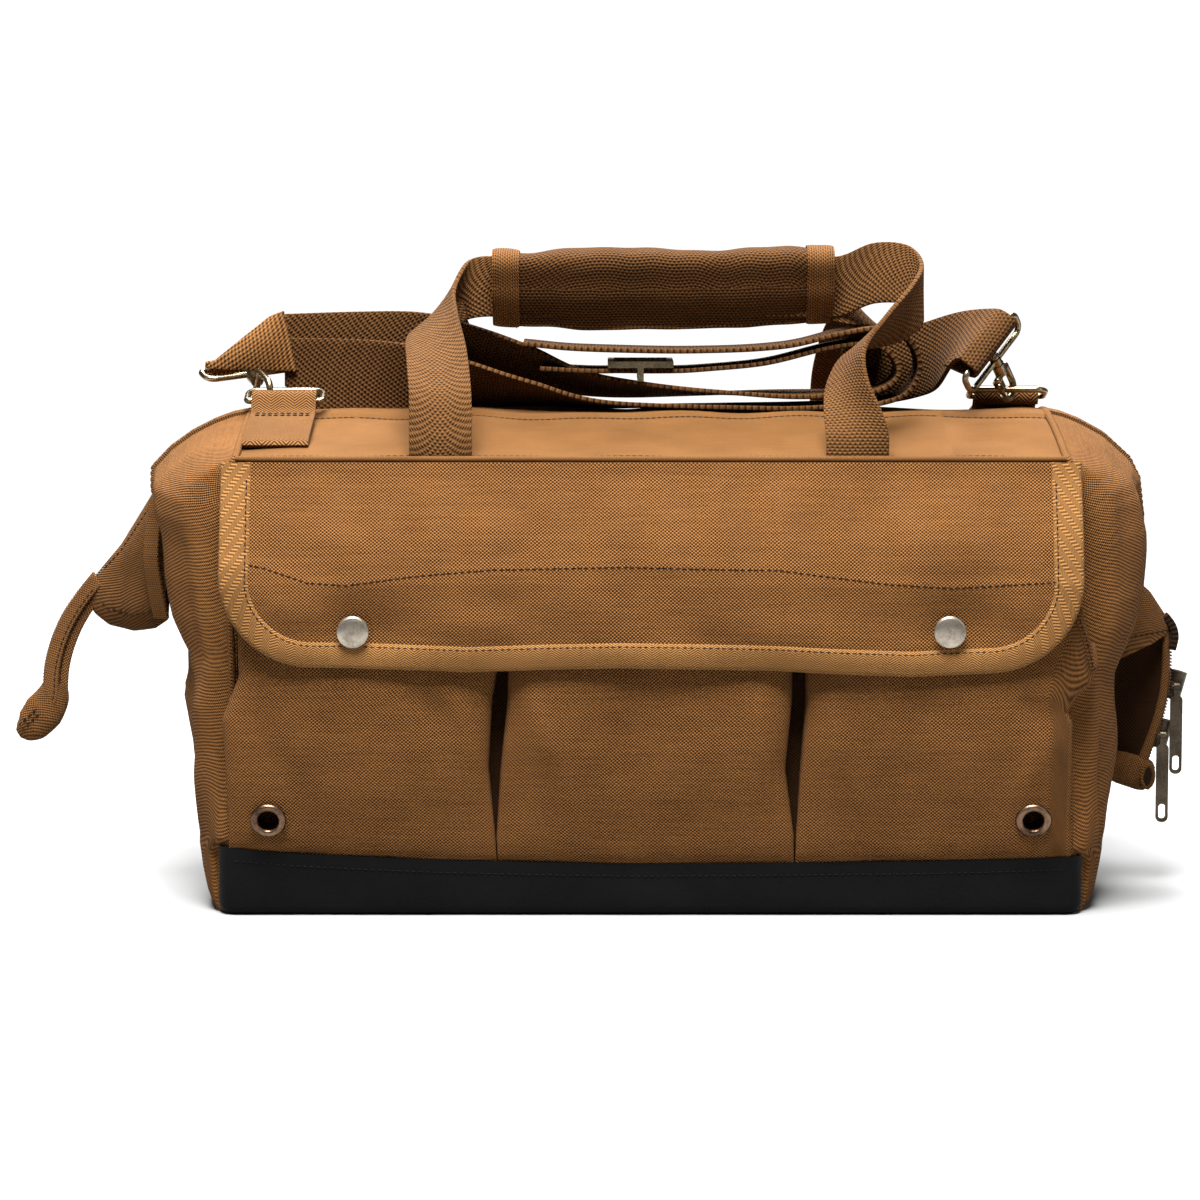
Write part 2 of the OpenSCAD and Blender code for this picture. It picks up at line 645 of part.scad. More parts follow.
// Sprung gate: a round lever with a bored knuckle, closing on the hook's tip
module hook_gate() {
    difference() {
        union() {
            translate([0, tip_y + gap, -bow_r]) rotate([-90, 0, 0])
                cylinder(h = gate_pin_y - tip_y - gap, r = gate_r);
            translate([-hook_r / 2, gate_pin_y, -bow_r]) rotate([0, 90, 0])
                cylinder(h = hook_r, r = gate_pin_r * 2.5);
        }
        translate([-hook_r, gate_pin_y, -bow_r]) rotate([0, 90, 0])
            cylinder(h = 2 * hook_r, r = gate_pin_r + pin_room);
    }
}
// Wire loop that takes the strap, with the boss that the swivel pin turns in
module strap_loop(roll) {
    translate([0, loop_y, 0]) rotate([0, roll, 0]) difference() {
        union() {
            wire_loop(loop_w, loop_d, loop_d / 3, loop_d / 4, wire_r);
            rotate([90, 0, 0]) cylinder(h = boss_l, r = boss_r, center = true);
        }
        rotate([90, 0, 0]) cylinder(h = boss_l + 2 * over, r = pin_r + pin_room, center = true);
    }
}
module left_hook() { color(brass_c) at_left_hook() snap_hook(); }
module right_hook() { color(brass_c) at_right_hook() snap_hook(); }
module left_gate() { color(brass_c) at_left_hook() hook_gate(); }
module right_gate() { color(brass_c) at_right_hook() hook_gate(); }
module left_loop() { color(brass_c) at_left_hook() strap_loop(left_roll); }
module right_loop() { color(brass_c) at_right_hook() strap_loop(right_roll); }

// Sewn ends of the shoulder strap, wrapped round the loops' far bars
sleeve_y = loop_y + loop_d - 2 * wire_r;
module strap_sleeve(roll) {
    translate([0, loop_y, 0]) rotate([0, roll, 0]) translate([0, sleeve_y - loop_y, 0])
        rotate([0, 90, 0]) difference() {
            cylinder(h = strap_w, r = sleeve_r, center = true);
            cylinder(h = strap_w + 2 * over, r = wire_r + gap, center = true);
        }
}
module strap_ends() {
    color(webbing_c) {
        at_left_hook() strap_sleeve(left_roll);
        at_right_hook() strap_sleeve(right_roll);
    }
}

// Shoulder strap: each route gives shares of the half width, the half depth and the height from ridge to grip
strap_seat = ridge_z + web_t / 2 + 2 * gap;
strap_rise = grip_z - ridge_z;
function strap_station(s) =
    [s[0] * base_w / 2, s[1] * base_d / 2, strap_seat + s[2] * strap_rise, s[3], s[4], s[5]];
left_sleeve = left_eye + swivel_way(left_yaw, left_pitch) * sleeve_y;
right_sleeve = right_eye + swivel_way(right_yaw, right_pitch) * sleeve_y;
leave_share = [-0.45, 0.87, -0.22];
right_strap_start = right_sleeve + leave_share * (sleeve_r + 4.5 * gap);
// From the front band, flat under the grip, round the outer curl and back on top
lower_shares = [
    [-0.86, 0.14, 0.37, 0, 0, 1], [-0.7, 0.13, 0.37, 0, 0, 1], [-0.56, 0.1, 0.33, 0, -0.35, 0.94],
    [-0.42, 0.04, 0.2, 0, -0.85, 0.5], [-0.28, 0.02, 0.02, 0, -1, 0.05], [0, 0.02, 0, 0, -1, 0],
    [0.28, 0.02, 0, 0, -1, 0], [0.47, 0.02, 0.02, 0, -1, 0], [0.56, 0.02, 0.05, 0, -1, 0],
    [0.62, 0.02, 0.14, 0, -1, 0], [0.645, 0.02, 0.34, 0, -1, 0], [0.62, 0.02, 0.54, 0, -1, 0],
    [0.55, 0.02, 0.64, 0, -1, 0], [0.45, 0.02, 0.6, 0, -1, 0], [0.32, 0.02, 0.5, 0, -1, 0],
    [0.1, 0.02, 0.46, 0, -1, 0], [-0.16, 0.02, 0.48, 0, -1, 0], [-0.3, 0.02, 0.52, 0, -1, 0]];
// From the rear band, on top of the first layer, round the inner curl and back
upper_shares = [
    [-0.845, 0.21, 0.5, 0, 0, -1], [-0.7, 0.2, 0.5, 0, 0, -1], [-0.56, 0.19, 0.49, 0, 0.1, -1],
    [-0.43, 0.14, 0.39, 0, 0.8, -0.6], [-0.3, 0.06, 0.14, 0, 1, -0.1], [-0.1, 0.04, 0.1, 0, 1, 0],
    [0.28, 0.04, 0.1, 0, 1, 0], [0.46, 0.04, 0.11, 0, 1, 0], [0.54, 0.04, 0.14, 0, 1, 0],
    [0.585, 0.04, 0.22, 0, 1, 0], [0.595, 0.04, 0.33, 0, 1, 0], [0.57, 0.04, 0.46, 0, 1, 0],
    [0.52, 0.04, 0.52, 0, 1, 0], [0.42, 0.04, 0.48, 0, 1, 0], [0.27, 0.04, 0.36, 0, 1, 0],
    [0.12, 0.04, 0.31, 0, 1, 0], [0.02, 0.04, 0.3, 0, 1, 0], [-0.06, 0.04, 0.3, 0, 1, 0],
    [-0.14, 0.04, 0.3, 0, 1, 0], [-0.26, 0.04, 0.32, 0, 1, 0]];
// From behind the curl to the right-hand loop
right_shares = [[0.47, 0.36, 0.27, 0, 0, 1], [0.58, 0.34, 0.29, 0, 0, 1], [0.68, 0.24, 0.38, 0, 0, 1],
                [0.773, 0, 0.453, 0.45, 0.4, 0.8]];
module strap_lower() {
    color(webbing_c) ribbon(smooth([for (s = lower_shares) strap_station(s)], 2), strap_w, web_t);
}
module strap_upper() {
    start = strap_station(upper_shares[0]);
    fold_foot = left_sleeve[2] + sleeve_r + 3 * gap;
    fold_top = start[2] + strap_w / 2;
    color(webbing_c) {
        ribbon(smooth([for (s = upper_shares) strap_station(s)], 2), strap_w, web_t);
        // Triangle of the 45 degree fold that stands on the sewn end
        translate([0, start[1], 0])
            wedge([[left_sleeve[0] - strap_w / 2, fold_foot], [start[0] + gap, fold_foot],
                   [start[0] + gap, fold_top], [start[0] - strap_w / 4, fold_top]], 2 * web_t);
    }
}
module strap_right() {
    finish = [each right_strap_start, each -bar_way(right_yaw, right_pitch, right_roll)];
    color(webbing_c)
        ribbon(smooth([for (s = right_shares) strap_station(s), finish], 3), strap_w, web_t);
}

// Slide adjuster: a flat frame over the strap and one bar under it, joined by two posts
adjuster_at = strap_station([-0.02, 0.04, 0.3, 0, 1, 0]);
module adjuster() {
    bar = 2 * wire_r;
    lift = web_t / 2 + 2.5 * gap;
    inner_w = strap_w + 4 * gap;
    reach = strap_w * 0.36;
    color(brass_c) translate(place(adjuster_at)) {
        translate([0, 0, lift]) linear_extrude(bar) difference() {
            square([2 * reach + 2 * bar, inner_w + 2 * bar], center = true);
            square([2 * reach, inner_w], center = true);
        }
        translate([-bar / 2, -inner_w / 2 - bar, -lift - bar]) cube([bar, inner_w + 2 * bar, bar]);
        for (y = [-inner_w / 2 - bar, inner_w / 2]) translate([-bar / 2, y, -lift - bar])
            cube([bar, bar, 2 * lift + bar]);
    }
}

// Gusset at each end: a wedge of doubled canvas that the zip runs down
function skin(row) = let (p = end_place(1, 0, row, 0)) [p[0] + gap, p[2]];
bulge_x = corner_x + base_r + end_bulge;
gusset_t = tail_t * 1.4;
module wedge(points, t) {
    translate([0, t / 2, 0]) rotate([90, 0, 0]) linear_extrude(t) polygon(points);
}
left_out = 2 * tail_w;
left_tip = [bulge_x + left_out, skin(4)[1] + gap];
left_heel = [bulge_x + left_out * 0.72, skin(4)[1] - left_out * 0.2];
module left_gusset() {
    top = skin(6)[1] - left_out * 0.3;
    color(canvas_c) mirror([1, 0, 0])
        wedge([left_heel, left_tip, [bulge_x + left_out * 0.2, top], [bulge_x + gap, top], skin(5), skin(4),
               [skin(4)[0], left_heel[1]]], gusset_t);
}
// The closed zip hangs on past the gusset and ends in a folded canvas tab
tail_shares = [[0, 0], [0.25, -0.26], [0.44, -0.6], [0.5, -0.95]];
tail_len = 3.4 * tail_w;
tail_start = (left_tip + left_heel) / 2 + [gap, -gap * 2];
function tail_place(s) = [-tail_start[0] - s[0] * tail_len, 0, tail_start[1] + s[1] * tail_len];
tail_ways = [[0.7, 0, -0.5], [0.75, 0, -0.45], [0.95, 0, -0.2], [1, 0, -0.05]];
module left_tail() {
    stations = [for (i = [0 : len(tail_shares) - 1]) concat(tail_place(tail_shares[i]), tail_ways[i])];
    color(webbing_c) ribbon(smooth(stations, 3), tail_w, tail_t);
}
tab_turn = 30;
module left_tail_tab() {
    tab_l = tail_w * 1.5;
    color(canvas_c) translate(tail_place(tail_shares[3]) - [0, 0, tail_w * 0.155]) rotate([0, tab_turn, 0])
        translate([0, 0, -tab_l / 2]) rotate([90, 0, 0])
            linear_extrude(tail_t + web_t, center = true) rounded(tail_w, tab_l, tail_w / 5);
}
right_out = tail_w * 0.9;
right_foot = skin(4)[1] - right_out * 2;
module right_gusset() {
    color(canvas_c)
        wedge([skin(4), [bulge_x + gap, skin(4)[1] + right_out],
               [bulge_x + right_out, skin(4)[1] - right_out], [bulge_x + right_out, right_foot],
               [skin(4)[0], right_foot]], gusset_t);
}

// The right-hand tail hangs from its gusset, slanting inwards, with two sliders parked on its zip
tail_turn = 15;
tape_reach = tail_w / 2;
tail_top = [bulge_x + right_out + tape_reach + coil_r, right_foot - gap];
tail_drop = tail_w * 4.6;
module at_tail(down) {
    translate([tail_top[0], 0, tail_top[1]]) rotate([0, tail_turn, 0]) translate([0, 0, -down])
        children();
}
module right_tail() {
    far = -tail_w * 1.9;
    near = -tape_reach;
    color(canvas_c) at_tail(tail_drop)
        wedge([[far, 0], [near, 0], [near, tail_drop + near * tan(tail_turn)],
               [far, tail_drop + far * tan(tail_turn)]], tail_t);
}
module tail_zip() {
    color("#5a3c22") at_tail(tail_drop) {
        translate([-tape_reach, -tape_t, 0]) cube([tape_reach, 2 * tape_t, tail_drop]);
        cylinder(h = tail_drop, r = coil_r);
    }
}
upper_down = tail_w * 1.2;
lower_down = tail_w * 2.85;
slider_bore = coil_r + 1.3 * gap;
ear_w = 1;
eye_w = 2.8;
pull_pin_r = 0.6;
pull_eye_r = 1.9;
pull_y = slider_r + pull_eye_r;
// A slider's shell wraps the coil, with a slot for the tape and two ears for the pull's pin
module slider(down) {
    slot = 2 * tape_t + 2.6 * gap;
    ear_at = eye_w / 2 + gap;
    color(brass_c) {
        difference() {
            union() {
                at_tail(down) translate([0, 0, -slider_l / 2]) cylinder(h = slider_l, r = slider_r);
                at_tail(down) for (s = [-1, 1]) translate([s * (ear_at + ear_w / 2), 0, 0])
                    rotate([0, -tail_turn, 0]) translate([-ear_w / 2, -pull_y, -pull_eye_r])
                        cube([ear_w, pull_y, 2 * pull_eye_r]);
            }
            at_tail(down) translate([0, 0, -slider_l]) cylinder(h = 2 * slider_l, r = slider_bore);
            at_tail(down) translate([-2 * slider_r, -slot / 2, -slider_l])
                cube([2 * slider_r, slot, 2 * slider_l]);
        }
        at_tail(down) rotate([0, -tail_turn, 0]) translate([-ear_at - ear_w / 2, -pull_y, 0])
            rotate([0, 90, 0]) cylinder(h = 2 * ear_at + ear_w, r = pull_pin_r);
    }
}
module upper_slider() { slider(upper_down); }
module lower_slider() { slider(lower_down); }
// A pull tab: bored eye, narrow neck and a long blade with a slotted end
module pull_tab(down) {
    neck_l = pull_eye_r * 2.4;
    slot_w = pull_w * 0.56;
    color(brass_c) at_tail(down) rotate([0, -tail_turn, 0]) translate([0, -pull_y, 0]) difference() {
        union() {
            translate([-eye_w / 2, 0, 0]) rotate([0, 90, 0]) cylinder(h = eye_w, r = pull_eye_r);
            translate([-eye_w / 2, -pull_t / 2, -neck_l]) cube([eye_w, pull_t, neck_l]);
            translate([0, pull_t / 2, -(pull_l + neck_l) / 2]) rotate([90, 0, 0])
                linear_extrude(pull_t) rounded(pull_w, pull_l - neck_l, pull_w * 0.45);
        }
        translate([-eye_w, 0, 0]) rotate([0, 90, 0]) cylinder(h = 2 * eye_w, r = pull_pin_r + pin_room);
        translate([0, pull_t, -pull_l + pull_w * 0.9]) rotate([90, 0, 0])
            linear_extrude(2 * pull_t) rounded(slot_w, pull_w * 1.2, slot_w * 0.45);
    }
}
module upper_pull() { pull_tab(upper_down); }
module lower_pull() { pull_tab(lower_down); }

base();
base_board();
front_panel();
rear_panel();
left_end();
right_end();
top_front_border();
top_rear_border();
mouth_front();
mouth_rear();
zip_front();
zip_rear();
zip_ends();
left_pocket();
middle_pocket();
right_pocket();
rear_pocket();
pocket_hems();
snap_studs();
eyelets();
flap();
flap_binding();
snap_caps();
snap_sockets();
front_handle();
rear_handle();
grip_wrap();
grip_bindings();
ring_tabs();
left_ring();
right_ring();
left_loop();
right_loop();
left_hook();
right_hook();
left_gate();
right_gate();
strap_ends();
strap_lower();
strap_upper();
strap_right();
adjuster();
left_gusset();
left_tail();
left_tail_tab();
right_gusset();
right_tail();
tail_zip();
upper_slider();
lower_slider();
upper_pull();
lower_pull();
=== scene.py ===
"""Canvas tool bag: the looks of its cloth, webbing, zips and fittings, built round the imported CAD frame."""

import math

import bmesh
import bpy
import numpy as np
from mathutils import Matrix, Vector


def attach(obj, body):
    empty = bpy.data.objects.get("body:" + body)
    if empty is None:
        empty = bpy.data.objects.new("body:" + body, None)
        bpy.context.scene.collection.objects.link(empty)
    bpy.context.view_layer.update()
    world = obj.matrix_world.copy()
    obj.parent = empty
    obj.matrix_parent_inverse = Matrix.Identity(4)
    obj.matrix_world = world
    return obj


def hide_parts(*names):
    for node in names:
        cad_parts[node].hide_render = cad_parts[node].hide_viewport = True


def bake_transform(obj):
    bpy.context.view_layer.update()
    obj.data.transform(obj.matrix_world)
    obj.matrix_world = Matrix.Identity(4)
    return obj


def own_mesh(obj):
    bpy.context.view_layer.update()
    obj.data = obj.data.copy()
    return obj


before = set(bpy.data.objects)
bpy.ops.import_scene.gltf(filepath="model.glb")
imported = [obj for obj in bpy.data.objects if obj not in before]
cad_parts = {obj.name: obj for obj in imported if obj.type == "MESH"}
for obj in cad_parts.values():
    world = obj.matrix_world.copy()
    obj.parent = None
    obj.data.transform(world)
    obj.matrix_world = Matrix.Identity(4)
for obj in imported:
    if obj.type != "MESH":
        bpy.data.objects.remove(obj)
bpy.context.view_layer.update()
MM = 0.001

# Studio: a white sweep under soft lamps, and a long lens that looks slightly down on the front,
# as in a catalogue picture. Nothing here belongs to the bag.
CAMERA_PLACE = (-0.0252, -2.088, 0.3808)
CAMERA_TILT = math.radians(83.61)
LENS, SENSOR = 121, 36
FLOOR_SIZE, FLOOR_GREY = 3.8, 0.24
SKY_LIGHT, SKY_SEEN, WHITE = 0.075, 1.05, (1, 1, 1, 1)

studio = bpy.context.scene
studio.view_settings.view_transform = "Standard"
camera = bpy.data.objects.new("studio_camera", bpy.data.cameras.new("studio_camera"))
camera.data.lens = LENS
camera.data.sensor_width = SENSOR
camera.location = CAMERA_PLACE
camera.rotation_euler = (CAMERA_TILT, 0, 0)
studio.collection.objects.link(camera)
studio.camera = camera


def dial(node, **values):
    """Sets sockets of a node to fixed values, each by its name with _ for a space."""
    for socket, value in values.items():
        node.inputs[socket.replace("_", " ")].default_value = value
    return node


def new_node(tree, kind, **values):
    """A new node in a tree, with some of its sockets set."""
    return dial(tree.nodes.new("ShaderNode" + kind), **values)


sky = bpy.data.worlds.new("studio_white")
sky.use_nodes = True
sky_tree = sky.node_tree
sky_light = dial(sky_tree.nodes["Background"], Strength=SKY_LIGHT, Color=WHITE)
sky_seen = new_node(sky_tree, "Background", Strength=SKY_SEEN, Color=WHITE)
sky_mix = new_node(sky_tree, "MixShader")
camera_ray = new_node(sky_tree, "LightPath").outputs["Is Camera Ray"]
for socket, source in zip(sky_mix.inputs, (camera_ray, sky_light.outputs[0], sky_seen.outputs[0])):
    sky_tree.links.new(source, socket)
sky_tree.links.new(sky_mix.outputs[0], sky_tree.nodes["World Output"].inputs["Surface"])
studio.world = sky


def softbox(name, place, aim, size, power):
    """A square lamp at place that faces aim."""
    lamp = bpy.data.objects.new(name, bpy.data.lights.new(name, "AREA"))
    lamp.data.size = size
    lamp.data.energy = power
    lamp.location = place
    turn = Vector(aim) - Vector(place)
    lamp.rotation_euler = turn.to_track_quat("-Z", "Y").to_euler()
    studio.collection.objects.link(lamp)


softbox("top_lamp", (-0.14, -0.74, 2.05), (0, 0, 0.15), 1.1, 243)
softbox("back_lamp", (0, 1.5, 2.2), (0, 1.35, 0), 1.6, 230)
softbox("left_lamp", (-1.7, -0.9, 0.9), (0, 0, 0.15), 0.9, 2)
softbox("right_lamp", (1.7, -1.0, 0.9), (0, 0, 0.15), 0.9, 6)


def set_down(*pieces):
    """Leaves just these pieces selected, the first of them active."""
    bpy.ops.object.select_all(action="DESELECT")
    for piece in pieces:
        piece.select_set(True)
    if pieces:
        bpy.context.view_layer.objects.active = pieces[0]


def tree_of(name):
    """A new material, its node tree and its surface shader."""
    material = bpy.data.materials.new(name)
    material.use_nodes = True
    return material, material.node_tree, material.node_tree.nodes["Principled BSDF"]


set_down()
bpy.ops.mesh.primitive_plane_add(size=FLOOR_SIZE)
floor = bpy.context.object
floor.name = "studio_floor"
floor_white, _, floor_shader = tree_of("floor_white")
dial(floor_shader, Base_Color=(FLOOR_GREY, FLOOR_GREY, FLOOR_GREY, 1), Roughness=0.9)
floor.data.materials.append(floor_white)

# Base: black coated cloth wrapped round the foot of the front, bottom and back over a stiff
# board. A row of black stitches near its upper edge holds it to the canvas.
BASE_LONG, BASE_DEEP = 432, 208
BASE_TOP = ((-216, 34.6), (-180, 31.6), (-102, 28.0), (-5, 26.2), (72, 26.8), (140, 27.6), (216, 29.6))
BASE_TURN, BASE_ROUND = 9, 5


def math_node(tree, what, *terms):
    """A maths node on sockets or numbers, and the socket that it gives."""
    node = tree.nodes.new("ShaderNodeMath")
    node.operation = what
    for socket, term in zip(node.inputs, terms):
        if isinstance(term, (int, float)):
            socket.default_value = term
        else:
            tree.links.new(term, socket)
    return node.outputs[0]


def noise_node(tree, place, size, detail=3.0, rough=0.5, give="Fac"):
    """Even noise from 0 to 1 whose grain is about size metres."""
    node = new_node(tree, "TexNoise", Scale=1 / size, Detail=detail, Roughness=rough)
    tree.links.new(place, node.inputs["Vector"])
    return node.outputs[give]


def colour_by(tree, shader, value, *stops):
    """Colours a shader by a value, through stops that each have a place and a colour."""
    node = new_node(tree, "ValToRGB")
    elements = node.color_ramp.elements
    while len(elements) < len(stops):
        elements.new(0.5)
    for element, (where, colour) in zip(elements, stops):
        element.position = where
        element.color = (*colour, 1)
    tree.links.new(value, node.inputs["Fac"])
    tree.links.new(node.outputs["Color"], shader.inputs["Base Color"])


def bump_node(tree, shader, height, depth, strength=1.0):
    """Gives the shader the relief of a height, depth metres deep."""
    node = new_node(tree, "Bump", Strength=strength, Distance=depth)
    tree.links.new(height, node.inputs["Height"])
    tree.links.new(node.outputs["Normal"], shader.inputs["Normal"])


def object_place(tree):
    """The places of a piece, for a material without a flat map."""
    return new_node(tree, "TexCoord").outputs["Object"]


black_coat, coat_tree, coat_shader = tree_of("black_coated_cloth")
coat_grain, coat_cloud = (noise_node(coat_tree, object_place(coat_tree), *grain)
                          for grain in ((0.0011, 2), (0.03, 4)))
coat_mix = math_node(coat_tree, "MULTIPLY_ADD", coat_grain, 0.45,
                     math_node(coat_tree, "MULTIPLY", coat_cloud, 0.55))
colour_by(coat_tree, coat_shader, coat_mix, (0.3, (0.0012, 0.0012, 0.0013)), (0.7, (0.0030, 0.0030, 0.0032)))
dial(coat_shader, Roughness=0.62, Specular_IOR_Level=0.07)
bump_node(coat_tree, coat_shader, coat_mix, 0.0004, 0.6)


def choose(piece, kind, test):
    """Selects the edges or faces of a piece in edit mode whose middle passes the test, in millimetres."""
    bpy.ops.mesh.select_mode(type="EDGE" if kind == "edges" else "FACE")
    bpy.ops.mesh.select_all(action="DESELECT")
    mesh = bmesh.from_edit_mesh(piece.data)
    for part in getattr(mesh, kind):
        middle = sum((v.co for v in part.verts), Vector()) / len(part.verts) / MM
        part.select_set(bool(test(middle, part)))
    bmesh.update_edit_mesh(piece.data)


def move_points(piece, how):
    """Moves every point of a piece by how(places), both in millimetres."""
    places = np.empty(len(piece.data.vertices) * 3)
    piece.data.vertices.foreach_get("co", places)
    piece.data.vertices.foreach_set("co", (how(places.reshape(-1, 3) / MM) * MM).ravel())
    piece.data.update()


def lookup(where, table):
    """The table's value at each place, in straight steps between its rows."""
    rows = np.asarray(table, float)
    return np.interp(where, rows[:, 0], rows[:, 1])


def ramp(value):
    """The value, held between 0 and 1."""
    return np.clip(value, 0, 1)


def mound(away, wide):
    """A soft mound from 1 in its middle to 0 outside, wide across."""
    return np.exp(-((away / wide) ** 2))


def points(x, y, z):
    """Places as rows, from columns or single numbers."""
    return np.stack(np.broadcast_arrays(x, y, z), 1)


def ripple(a, b, size, seed):
    """Soft waves from -1 to 1 over a and b, about size long, the same at each run."""
    draw = np.random.default_rng(seed)
    total = 0
    for _ in range(7):
        way, phase = draw.uniform(0, 2 * math.pi), draw.uniform(0, 2 * math.pi)
        pace = 2 * math.pi / size * draw.uniform(0.55, 1.7)
        total = total + np.sin(pace * (a * math.cos(way) + b * math.sin(way)) + phase)
    return total / 4


set_down()
bpy.ops.mesh.primitive_cube_add(size=1)
base_wrap = bpy.context.object
base_wrap.name = "base_wrap"
move_points(base_wrap, lambda p: p / 1000 * (BASE_LONG, BASE_DEEP, 30) + (0, 0, 15))
bpy.ops.object.mode_set(mode="EDIT")
choose(base_wrap, "edges", lambda middle, edge: 10 < middle.z < 20)
bpy.ops.mesh.bevel(offset=BASE_TURN * MM, segments=5, affect="EDGES")
choose(base_wrap, "edges", lambda middle, edge: middle.z < 0.1 and len(edge.link_faces) == 2 and any(
    abs(f.normal.z) < 0.5 for f in edge.link_faces))
bpy.ops.mesh.bevel(offset=BASE_ROUND * MM, segments=4, affect="EDGES")
for cuts, way in ((np.linspace(-208, 208, 53), (1, 0, 0)), ((11, 17, 23), (0, 0, 1))):
    for cut in cuts:
        bpy.ops.mesh.select_all(action="SELECT")
        bpy.ops.mesh.bisect(plane_co=[cut * MM * k for k in way], plane_no=way)
bpy.ops.object.mode_set(mode="OBJECT")


def slacken_base(p):
    """The upper edge runs in a slack wave, and the front is a little uneven."""
    edge = lookup(p[:, 0], BASE_TOP)
    rise = np.where(p[:, 2] > BASE_ROUND, BASE_ROUND + (p[:, 2] - BASE_ROUND) * (edge - BASE_ROUND) / 25,
                    p[:, 2])
    side = np.sign(p[:, 1]) * (np.abs(p[:, 1]) > 95)
    swell = 0.7 * ripple(p[:, 0], p[:, 2] * 2, 85, 3) * ramp(p[:, 2] / 12)
    return points(p[:, 0], p[:, 1] + side * swell, rise)


move_points(base_wrap, slacken_base)
bpy.ops.object.shade_smooth_by_angle(angle=math.radians(50))
base_wrap.data.materials.append(black_coat)
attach(base_wrap, "bag")
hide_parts("base", "base_board")

# Walls: a front and a rear panel of heavy plain-weave canvas. The rear one is seen above its pocket;
# the front one, seen only in the gaps between the pockets, is a near-black canvas: painted shade in the gaps.
CANVAS_THICK = 1.3
WALL_X, WALL_Y, WALL_FOOT, WALL_TOP = 206, 101.7, 20, 228
THREAD_SWAY, DRIFT_SIZE = 0.9, 1 / 90


def weave(name, raised, sunk, across, along, depth, ribs=0.0, twill=0.0, cloud=0.35):
    """Woven cloth on the piece's own flat map: threads across and along metres apart.
    ribs turns its dots to ribs along the piece, twill to a slanting herringbone."""
    material, tree, shader = tree_of(name)
    flat_map = new_node(tree, "UVMap").outputs["UV"]
    sway = new_node(tree, "VectorMath")
    sway.operation = "MULTIPLY_ADD"
    sway.inputs[1].default_value = (across * THREAD_SWAY, along * THREAD_SWAY, 0)
    tree.links.new(noise_node(tree, flat_map, DRIFT_SIZE, 2, give="Color"), sway.inputs[0])
    tree.links.new(flat_map, sway.inputs[2])
    split = new_node(tree, "SeparateXYZ")
    tree.links.new(sway.outputs[0], split.inputs[0])

    def maths(what, *terms):
        return math_node(tree, what, *terms)

    column, row = split.outputs[0], maths("MULTIPLY", split.outputs[1], math.pi / along)
    if twill:
        fold = maths("PINGPONG", column, twill)
        dots = maths("SINE", maths("ADD", maths("MULTIPLY", fold, math.pi / across), row))
    else:
        over = maths("SINE", maths("MULTIPLY", column, math.pi / across))
        dots = maths("MULTIPLY", over, maths("SINE", row))
        if ribs:
            bar = maths("SINE", maths("MULTIPLY", row, 2))
            dots = maths("ADD", maths("MULTIPLY", dots, 1 - ribs), maths("MULTIPLY", bar, ribs))
    height = maths("MULTIPLY_ADD", dots, 0.5, 0.5)
    stretch = new_node(tree, "Mapping", Scale=(0.06, 1, 1))
    tree.links.new(flat_map, stretch.inputs["Vector"])
    fluff = noise_node(tree, flat_map, 0.0009, 2)
    # Colour follows the threads' height: painted shade in the sunk gaps and a painted highlight on the raised
    # threads, over noise layers for the cloth's own uneven tone.
    shade = maths("MULTIPLY", height, 0.72)
    for layer, much in ((noise_node(tree, stretch.outputs[0], along * 2.2, 2), 0.2),
                        (noise_node(tree, flat_map, 0.045, 5, 0.6), cloud), (fluff, 0.22)):
        shade = maths("MULTIPLY_ADD", layer, much, shade)
    shade = maths("SUBTRACT", shade, (cloud + 0.14) / 2)
    middle = [a * 0.55 + b * 0.45 for a, b in zip(raised, sunk)]
    colour_by(tree, shader, shade, (0.24, sunk), (0.5, middle), (0.78, raised))
    dial(shader, Roughness=0.88, Specular_IOR_Level=0.04, Sheen_Weight=0.012, Sheen_Roughness=0.5)
    bump_node(tree, shader, maths("MULTIPLY_ADD", fluff, 0.3, height), depth, 0.9)
    return material


duck_canvas = weave("duck_canvas", (0.215, 0.092, 0.026), (0.010, 0.0034, 0.0009), 0.00095, 0.00085, 0.0009,
                    cloud=0.26)
# A near-black copy of the canvas: painted shade, for the gaps between the pockets and the hollow of the right
# tail.
shade_canvas = weave("painted_shade_canvas", (0.040, 0.017, 0.0055), (0.005, 0.0018, 0.0006), 0.00095, 0.00085, 0.0009)


